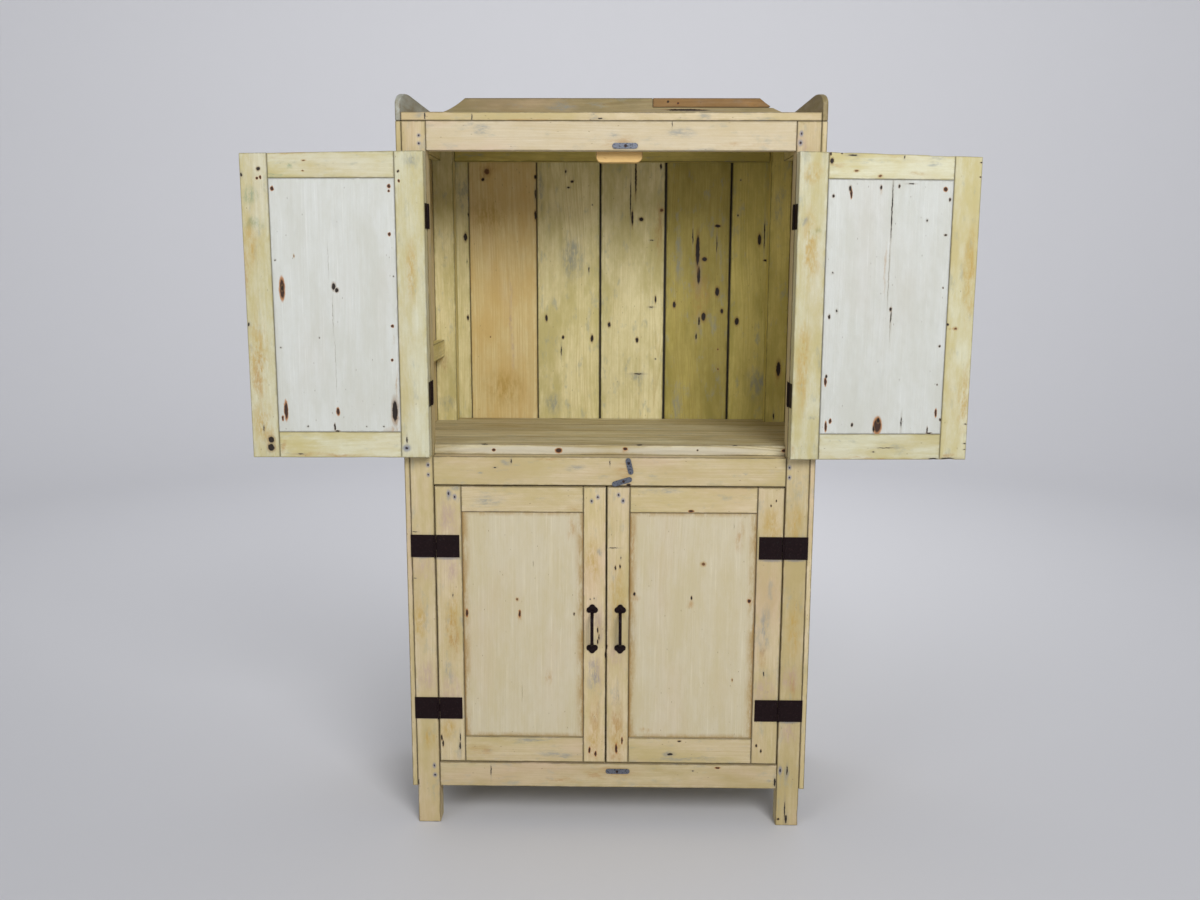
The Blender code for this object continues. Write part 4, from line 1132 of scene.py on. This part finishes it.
# %% Marks of the doors
DOOR_MARKS = {
    "upper_left_door": {
        "closing_stile": {
            "hole": [(0.68, 0.944, 4.2, 4.6), (0.7, 0.06, 7, 8), (0.68, 0.034, 8, 9)],
            "rust": [(0.62, 0.914, 2.6, 3), (0.74, 0.917, 2.6, 4)],
            "verdigris": [(0.45, 0.77, 26, 16), (0.35, 0.86, 20, 24)],
            "crack": [(0.06, 0.925, 2.4, 5), (0.44, 0.098, 1.4, 7), (0.06, 0.445, 2, 5)],
            "stain": [(0.72, 0.045, 14, 30), (0.35, 0.28, 10, 60), (0.1, 0.6, 8, 60)],
            "ochre": [(0.35, 0.33, 24, 110), (0.4, 0.11, 26, 60), (0.25, 0.7, 16, 60)],
        },
        "hinge_stile": {
            "hole": [(0.13, 0.935, 2.6, 2.8)],
            "rust": [(0.15, 0.905, 2.6, 3.4)],
            "crack": [(0.2, 0.06, 1.8, 8)],
            "ochre": [(0.5, 0.62, 14, 70)],
            "nail": [(0.18, 0.032, 4, 3.6)],
            "bruise": [(0.18, 0.03, 13, 9), (0.6, 0.97, 20, 20)],
        },
        "top_rail": {
            "verdigris": [(0.18, 0.4, 8, 6), (0.06, 0.05, 24, 5)],
            "knot": [(0.29, 0.66, 4, 2), (0.28, 0.26, 3, 1.6)],
            "stain": [(0.04, 0.8, 12, 4), (0.2, 0.97, 50, 4)],
        },
        "bottom_rail": {
            "stain": [(0.45, 0.1, 120, 5), (0.03, 0.4, 6, 20)],
            "crack": [(0.17, 0.14, 7, 1.4)],
            "bruise": [(0.79, 0.72, 5, 2)],
        },
        "panel": {
            "rust": [
                (0.03, 0.96, 4, 5), (0.955, 0.968, 4, 4.6), (0.955, 0.95, 2.6, 3), (0.95, 0.785, 3.4, 4),
                (0.075, 0.573, 6.2, 25), (0.955, 0.425, 3.2, 3.6), (0.945, 0.29, 2.8, 3.2),
                (0.065, 0.087, 4.4, 22), (0.035, 0.055, 2.4, 6), (0.49, 0.083, 4.2, 9),
            ],
            "hole": [
                (0.075, 0.575, 2.8, 6), (0.49, 0.582, 4.4, 8), (0.515, 0.567, 4, 5),
                (0.955, 0.085, 6.6, 26), (0.46, 0.02, 2, 8), (0.48, 0.003, 5, 1.8),
            ],
            "stain": [
                (0.97, 0.075, 12, 40), (0.93, 0.008, 20, 8), (0.985, 0.17, 3, 44), (0.965, 0.37, 2, 12),
            ],
            "hairline": [(0.475, 0.47, 1, 60), (0.485, 0.27, 0.9, 80), (0.455, 0.68, 0.7, 50)],
            "crack": [
                (0.045, 0.34, 1.6, 1.6), (0.03, 0.685, 1.8, 1.8), (0.24, 0.022, 1.8, 1.8),
                (0.72, 0.022, 1.5, 1.5), (0.86, 0.022, 1.5, 1.5), (0.36, 0.38, 1.4, 1.6),
                (0.975, 0.62, 1.4, 1.6),
            ],
            "knot": [(0.18, 0.7, 1.6, 3.4)],
        },
    },
    "upper_right_door": {
        "closing_stile": {
            "hole": [(0.94, 0.975, 2.6, 2), (0.94, 0.925, 2.6, 1.8), (0.04, 0.452, 2.6, 3)],
            "knot": [(0.34, 0.438, 4.6, 3.6)],
            "stain": [(0.2, 0.44, 10, 3), (0.3, 0.01, 22, 5)],
            "crack": [
                (0.92, 0.12, 3, 1.4), (0.93, 0.055, 3, 1.4), (0.94, 0.035, 3, 1), (0.3, 0.004, 18, 1.8),
            ],
            "ochre": [(0.75, 0.62, 16, 120), (0.8, 0.2, 16, 80)],
        },
        "hinge_stile": {
            "ochre": [
                (0.4, 0.665, 18, 34), (0.6, 0.64, 14, 26), (0.3, 0.36, 14, 70), (0.45, 0.7, 22, 90),
                (0.35, 0.3, 16, 110), (0.5, 0.93, 22, 26),
            ],
            "bruise": [(0.2, 0.78, 14, 10), (0.75, 0.14, 8, 5), (0.35, 0.035, 5, 3)],
            "verdigris": [(0.6, 0.745, 16, 9)],
            "stain": [(0.08, 0.03, 6, 16)],
        },
        "top_rail": {
            "hole": [(0.022, 0.66, 4, 6.6), (0.01, 0.93, 2.4, 4), (0.1, 0.97, 2.4, 1.6)],
            "stain": [(0.07, 0.48, 18, 4.6), (0.5, 0.9, 26, 5), (0.7, 0.25, 26, 5)],
            "crack": [(0.185, 0.9, 11, 2), (0.595, 0.88, 1.5, 4)],
            "knot": [(0.22, 0.3, 5, 2.6), (0.41, 0.12, 4.6, 3)],
            "bruise": [(0.85, 0.88, 22, 6), (0.83, 0.62, 16, 8)],
        },
        "bottom_rail": {
            "bruise": [(0.07, 0.72, 4, 2), (0.17, 0.72, 4, 2)],
            "crack": [(0.55, 0.46, 20, 0.8), (0.95, 0.03, 12, 2.4), (0.45, 0.3, 3, 1.4)],
            "stain": [(0.5, 0.04, 120, 3)],
        },
        "panel": {
            "hole": [
                (0.045, 0.935, 2.8, 3.6), (0.175, 0.965, 3, 6), (0.42, 0.97, 2.4, 5),
                (0.565, 0.975, 2.2, 4), (0.975, 0.925, 2.4, 4), (0.955, 0.79, 3.4, 2.4),
                (0.955, 0.585, 1.8, 2.2), (0.955, 0.355, 2.6, 2.6), (0.047, 0.468, 2.4, 5),
                (0.54, 0.5, 2.8, 4.6), (0.04, 0.232, 2.4, 4), (0.265, 0.037, 2.4, 4.4),
                (0.48, 0.056, 3.4, 6), (0.445, 0.02, 2.4, 8), (0.888, 0.015, 1.8, 8),
                (0.905, 0.004, 6, 1.6), (0.99, 0.058, 2, 3), (0.95, 0.2, 1.6, 2),
            ],
            "rust": [
                (0.185, 0.945, 2.6, 11), (0.935, 0.965, 4.6, 5.4), (0.035, 0.21, 3, 10),
                (0.05, 0.03, 3, 12), (0.085, 0.052, 3, 6), (0.475, 0.034, 9.4, 19), (0.952, 0.086, 2.6, 10),
            ],
            "stain": [(0.43, 0.96, 5, 12), (0.485, 0.66, 3.4, 55)],
            "crack": [
                (0.66, 0.985, 7, 1.4), (0.105, 0.492, 2, 3.4), (0.545, 0.47, 1.2, 14),
                (0.67, 0.048, 1.3, 13), (0.515, 0.88, 1.3, 70), (0.06, 0.64, 1.8, 2), (0.8, 0.845, 2, 2.6),
            ],
            "hairline": [(0.512, 0.63, 1.5, 90), (0.54, 0.44, 1, 50)],
        },
    },
    "lower_left_door": {
        "hinge_stile": {
            "nail": [(0.53, 0.974, 2.2, 4), (0.76, 0.962, 2.2, 3.2)],
            "bruise": [
                (0.55, 0.965, 9, 12), (0.78, 0.035, 8, 18), (0.35, 0.335, 14, 22), (0.8, 0.99, 12, 7),
            ],
            "hole": [(0.07, 0.088, 2, 8), (0.12, 0.066, 2.2, 9)],
            "crack": [(0.8, 0.09, 1.6, 12), (0.79, 0.058, 2.4, 11), (0.62, 0.612, 1.4, 4)],
            "smear": [(0.45, 0.746, 30, 4), (0.45, 0.166, 30, 4)],
            "stain": [(0.6, 0.46, 16, 60)],
            "mauve": [(0.55, 0.7, 26, 40), (0.5, 0.245, 26, 60), (0.5, 0.885, 24, 60)],
            "ochre": [(0.6, 0.52, 20, 90), (0.35, 0.12, 20, 30)],
        },
        "closing_stile": {
            "nail": [(0.36, 0.95, 2, 2.6), (0.63, 0.964, 2, 2.8)],
            "rust": [(0.28, 0.045, 2.8, 8), (0.56, 0.032, 2.8, 7)],
            "stain": [(0.45, 0.035, 16, 20), (0.5, 0.175, 14, 50)],
            "hole": [
                (0.64, 0.49, 1.8, 7), (0.7, 0.465, 1.6, 7), (0.64, 0.448, 1.8, 6), (0.985, 0.4, 1.8, 8),
            ],
            "crack": [(0.3, 0.602, 1.4, 1.6), (0.48, 0.605, 1.2, 2)],
            "bruise": [(0.45, 0.32, 16, 46), (0.75, 0.77, 7, 10)],
            "mauve": [(0.55, 0.34, 20, 56), (0.7, 0.51, 14, 50)],
            "ochre": [(0.4, 0.74, 18, 60), (0.5, 0.09, 22, 40)],
        },
        "top_rail": {"bruise": [(0.22, 0.45, 40, 14)], "stain": [(0.93, 0.2, 18, 10)]},
        "bottom_rail": {
            "stain": [(0.13, 0.45, 36, 15)],
            "bruise": [(0.8, 0.3, 60, 8), (0.55, 0.9, 60, 4)],
        },
        "panel": {
            "rust": [(0.03, 0.555, 3, 10), (0.47, 0.555, 3, 9)],
            "stain": [(0.47, 0.53, 6, 14), (0.71, 0.27, 9, 26), (0.9, 0.93, 12, 30)],
            "knot": [(0.45, 0.618, 3.4, 3.6)],
            "hole": [(0.925, 0.555, 2, 4)],
            "hairline": [(0.485, 0.2, 0.8, 30), (0.585, 0.775, 1.6, 9)],
        },
    },
    "lower_right_door": {
        "closing_stile": {
            "nail": [(0.7, 0.952, 2.2, 3), (0.5, 0.972, 2, 2.6)],
            "crack": [(0.28, 0.786, 11, 1), (0.62, 0.75, 1, 3)],
            "hole": [(0.38, 0.715, 2, 5.4), (0.58, 0.72, 1.8, 5.4), (0.01, 0.43, 1.6, 6)],
            "bruise": [(0.46, 0.26, 7, 34), (0.1, 0.985, 6, 10)],
            "rust": [(0.46, 0.052, 3, 13), (0.72, 0.082, 2.2, 9)],
            "stain": [(0.5, 0.035, 22, 26), (0.35, 0.02, 16, 12), (0.45, 0.16, 18, 60)],
            "mauve": [(0.45, 0.4, 18, 30)],
            "ochre": [(0.5, 0.62, 20, 80), (0.55, 0.09, 24, 50)],
        },
        "hinge_stile": {
            "hole": [
                (0.69, 0.955, 1.8, 3), (0.5, 0.938, 1.8, 3), (0.2, 0.068, 2.4, 4), (0.38, 0.048, 2.4, 4.4),
            ],
            "smear": [(0.6, 0.746, 28, 4), (0.6, 0.168, 28, 4.5)],
            "crack": [(0.4, 0.335, 1.6, 6)],
            "stain": [(0.35, 0.4, 10, 40)],
            "mauve": [(0.45, 0.27, 26, 36)],
            "ochre": [(0.55, 0.86, 22, 60)],
            "bruise": [(0.4, 0.5, 16, 60)],
        },
        "top_rail": {"rust": [(0.48, 0.075, 7, 3)], "bruise": [(0.25, 0.85, 50, 7)]},
        "bottom_rail": {
            "hole": [(0.415, 0.88, 4.4, 2.4)],
            "crack": [(0.34, 0.35, 8, 3)],
            "bruise": [(0.33, 0.35, 16, 7), (0.5, 0.15, 90, 6)],
        },
        "panel": {
            "hole": [(0.04, 0.645, 2.6, 4.4), (0.495, 0.63, 2.2, 5)],
            "stain": [
                (0.05, 0.63, 9, 12), (0.48, 0.605, 9, 14), (0.955, 0.615, 9, 10), (0.87, 0.9, 11, 40),
                (0.14, 0.03, 14, 8), (0.03, 0.86, 4, 60),
            ],
            "rust": [(0.955, 0.618, 4, 4.6)],
            "knot": [(0.585, 0.778, 5.4, 5), (0.835, 0.265, 1.8, 4)],
            "hairline": [(0.82, 0.945, 0.8, 10)],
        },
    },
}
print("marks for", len(DOOR_MARKS), "doors")

# %% Doors
# (door, part): dents as (point from the board's low corner, radius, push)
GNAWED = {
    ("upper_right_door", "top_rail"): (
        ((0.020, 0.0, 0.061), (0.030, 0.04, 0.010), (0.0, 0.0, -0.0050)),
        ((0.048, 0.0, 0.061), (0.030, 0.04, 0.010), (0.0, 0.0, -0.0045)),
        ((0.150, 0.0, 0.061), (0.045, 0.04, 0.009), (0.0, 0.0, -0.0030)),
        ((0.262, 0.0, 0.061), (0.030, 0.04, 0.009), (0.0, 0.0, -0.0032)),
    ),
    ("upper_left_door", "top_rail"): (
        ((0.285, 0.0, 0.061), (0.120, 0.04, 0.012), (0.0, 0.0, -0.0024)),
        ((0.060, 0.0, 0.061), (0.060, 0.04, 0.010), (0.0, 0.0, -0.0010)),
    ),
    ("upper_right_door", "closing_stile"): (
        ((0.040, 0.0, 0.000), (0.020, 0.04, 0.010), (0.0, 0.0, 0.0050)),
        ((0.000, 0.0, 0.350), (0.010, 0.04, 0.080), (0.0012, 0.0, 0.0)),
    ),
    ("upper_left_door", "bottom_rail"): (
        ((0.080, 0.0, 0.000), (0.070, 0.04, 0.009), (0.0, 0.0, 0.0022)),
        ((0.220, 0.0, 0.000), (0.060, 0.04, 0.009), (0.0, 0.0, -0.0010)),
    ),
    ("upper_right_door", "bottom_rail"): (
        ((0.012, 0.0, 0.000), (0.016, 0.04, 0.008), (0.0, 0.0, 0.0030)),
    ),
}
SUNK = {"upper_left_door": (0.0015, 0.0050), "upper_right_door": (0.0020, 0.0085)}  # sag, planed off

for tier in ("upper", "lower"):
    frame_tone, panel_tone = ("open frame", "open panel") if tier == "upper" else ("outside", "lower panel")
    for hand in ("left", "right"):
        door = f"{tier}_{hand}_door"
        joint = JOINTS[door + "_hinge"]
        to_shut = turn_on_pin(joint, joint["range_deg"][0])
        pose = to_shut.inverted() if tier == "upper" else STAYS
        boxes = {
            part: shut_box(f"{door}_{part}", to_shut)
            for part in ("hinge_stile", "closing_stile", "top_rail", "bottom_rail", "panel")
        }
        left, right = sorted((boxes["hinge_stile"], boxes["closing_stile"]), key=lambda pair: pair[0].x)
        inside_x = (left[1].x + JOINT_GAP, right[0].x - JOINT_GAP)
        for part in ("top_rail", "bottom_rail", "panel"):
            boxes[part][0].x, boxes[part][1].x = inside_x
        boxes["panel"][0].z = boxes["bottom_rail"][1].z + JOINT_GAP
        boxes["panel"][1].z = boxes["top_rail"][0].z - JOINT_GAP
        sunk = None
        if door in SUNK:
            door_width = inside_x[1] - inside_x[0] + 2 * (left[1].x - left[0].x)
            sunk = (boxes["hinge_stile"][1].z, joint["pos_m"][0], door_width, *SUNK[door])
        for part, (low, high) in boxes.items():
            is_panel = part == "panel"
            gnawed = GNAWED.get((door, part), ())
            board(
                f"{door}_{part}", f"{door}_{part}", door, low, high, 0 if part.endswith("rail") else 2,
                panel_tone if is_panel else frame_tone, marks=DOOR_MARKS[door].get(part),
                flip=tier == "upper", pose=pose, rim=is_panel and tier == "lower", dents=gnawed,
                ease=0.0008 if is_panel else 0.0014, cell=0.006 if gnawed else 0.04, sunk=sunk,
            )
print("with the doors:", board_count, "boards")

# %% [markdown]
# ## Iron, zinc and nail heads
#
# The hinges and handles were dipped in black paint, which has a dull shine, a little rust at worn spots and
# a lumpy surface. The four turn buttons are bare grey zinc, scratched and spotted. Both finishes read
# Object coordinates, because the CAD parts carry no pattern of their own, and at rest their object
# coordinates are real metres.


# %% Metal finishes
def metal_finish(name, base, worn, worn_start, roughness, metallic, lump, shine=0.5):
    """base wears through to worn where the noise passes worn_start; lump is how high its bumps are."""
    material, shader, wire = new_finish(name)
    where = wire.node("ShaderNodeTexCoord").outputs["Object"]
    patch = wire.noise(where, (260.0,) * 3, 5.0, 0.65)
    fine = wire.noise(where, (1500.0,) * 3, 3.0, 0.6)
    height = wire.math("MULTIPLY_ADD", fine, 0.35, patch)
    bump = wire.node("ShaderNodeBump", {"Height": height, "Distance": lump, "Strength": 0.7})
    wear = wire.fade(patch, worn_start, worn_start + 0.16)
    wire.feed(shader["Base Color"], wire.blend(wear, base, worn))
    wire.feed(shader["Roughness"], wire.fade(fine, 0.3, 0.7, roughness - 0.10, roughness + 0.12))
    wire.feed(shader["Metallic"], metallic)
    wire.feed(shader["Specular IOR Level"], shine)
    wire.feed(shader["Normal"], bump.outputs["Normal"])
    return material


black_iron = metal_finish("black iron", srgb(24, 11, 13), srgb(52, 34, 34), 0.56, 0.52, 0.0, 0.0007, 0.12)
bare_zinc = metal_finish("bare zinc", srgb(116, 120, 130), srgb(56, 57, 62), 0.50, 0.36, 0.85, 0.0004)
old_nail = metal_finish("old nail", srgb(58, 52, 56), srgb(86, 52, 34), 0.50, 0.60, 0.6, 0.0002)

painted = 0
for name, node in frame["nodes"].items():
    if node.hide_render:
        continue
    node.data.materials.clear()
    node.data.materials.append(bare_zinc if "turn_button" in name else black_iron)
    painted += 1
print(painted, "metal CAD parts painted")

# %% [markdown]
# ## Nails and screws
#
# A nail head here is a low dome a little over four millimetres wide. It is made once per nail from a small
# sphere, flattened along the way it was driven. A screw is a flat disc whose side leans in, with a dark
# slot. All nail heads of one body join into one piece, and the screws of one hinge leaf, button or handle
# join into another, because they move together.

# %% Nail heads
NAIL_RADIUS = 0.0021
NAIL_SINK = 0.0004
FRONT = Vector((0, -1, 0))


def add_dome(bm, place, out, radius, rise):
    """A flattened ball whose upper half stands proud of the surface by rise."""
    turn = out.to_track_quat("Z", "Y").to_matrix().to_4x4()
    matrix = Matrix.Translation(place) @ turn @ Matrix.Diagonal((radius, radius, rise, 1.0))
    bmesh.ops.create_uvsphere(bm, u_segments=10, v_segments=6, radius=1.0, matrix=matrix)


for body in sorted({head[0] for head in nail_heads}):
    bm = bmesh.new()
    heads = [(place, out) for owner, place, out in nail_heads if owner == body]
    for place, out in heads:
        add_dome(bm, place - out * NAIL_SINK, out, NAIL_RADIUS, NAIL_SINK * 2)
    finish_piece(f"{body}_nails", bm, body, old_nail)
    print(body, "has", len(heads), "nail heads")

# %% Screws
FLAP_SCREW = (0.0034, 0.0004)  # radius and rise of a screw's head
BUTTON_SCREW = (0.0036, 0.0005)
HANDLE_SCREW = (0.0030, 0.0006)
HEAD_LEAN = 0.86  # the head's outer face, as a part of its foot
SLOT_WIDE = 0.26
SLOT_LONG = 1.7
slot_dark = plain_finish("dirt in a slot", srgb(16, 14, 14), 0.9)


def add_screw(bm, place, out, radius, rise, slot_turn):
    """A flat slotted head; the slot is a thin dark bar let in across the top, with the second material."""
    matrix = Matrix.Translation(place) @ out.to_track_quat("Z", "Y").to_matrix().to_4x4()
    sizes = {"radius1": radius, "radius2": radius * HEAD_LEAN, "depth": rise * 2}
    bmesh.ops.create_cone(bm, cap_ends=True, segments=16, matrix=matrix, **sizes)
    slot = matrix @ Matrix.Rotation(slot_turn, 4, "Z") @ Matrix.Translation((0.0, 0.0, rise * 0.55))
    slot = slot @ Matrix.Diagonal((radius * SLOT_LONG, radius * SLOT_WIDE, rise, 1.0))
    bar = bmesh.ops.create_cube(bm, size=1.0, matrix=slot)
    for face in {face for vert in bar["verts"] for face in vert.link_faces}:
        face.material_index = 1


def screw_piece(name, body, places, head, material):
    bm = bmesh.new()
    for number, place in enumerate(places):
        add_screw(bm, Vector(place), FRONT, *head, 0.7 + 1.9 * number)
    piece = finish_piece(name, bm, body, material)
    piece.data.materials.append(slot_dark)


LEAF_PROUD = 0.0024  # how far a flap's outer face stands in front of the posts
FLAP_SCREWS = ((0.20, 0.22), (0.20, 0.78), (0.72, 0.22), (0.72, 0.78))
for hand in ("left", "right"):
    pin_x = JOINTS[f"lower_{hand}_door_hinge"]["pos_m"][0]
    for level in ("upper", "lower"):
        hinge = f"lower_{hand}_door_{level}_hinge"
        for leaf, body in (("carcass_leaf", "carcass"), ("door_leaf", f"lower_{hand}_door")):
            low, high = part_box(f"{hinge}_{leaf}")
            inward, outward = sorted((low.x, high.x), key=lambda x: abs(x - pin_x))
            face_y = LEFT_POST[0].y - LEAF_PROUD
            places = [
                (outward + (inward - outward) * along, face_y, low.z + (high.z - low.z) * up)
                for along, up in FLAP_SCREWS
            ]
            screw_piece(f"{hinge}_{leaf}_screws", body, places, FLAP_SCREW, black_iron)

for name, joint in JOINTS.items():
    if name.endswith("button_pivot"):
        body = joint["child"]
        place = (joint["pos_m"][0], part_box(body)[0].y, joint["pos_m"][2])
        screw_piece(f"{body}_screw", body, [place], BUTTON_SCREW, old_nail)

PALM_PROUD = 0.0026  # how thick a handle's flat ends are
SCREW_IN = 0.0085  # from a handle's end to its screw
for hand in ("left", "right"):
    node = f"lower_{hand}_pull_handle"
    low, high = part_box(node)
    places = [((low.x + high.x) / 2, high.y - PALM_PROUD, z) for z in (low.z + SCREW_IN, high.z - SCREW_IN)]
    screw_piece(f"{node}_screws", f"lower_{hand}_door", places, HANDLE_SCREW, black_iron)
print("screws fitted")
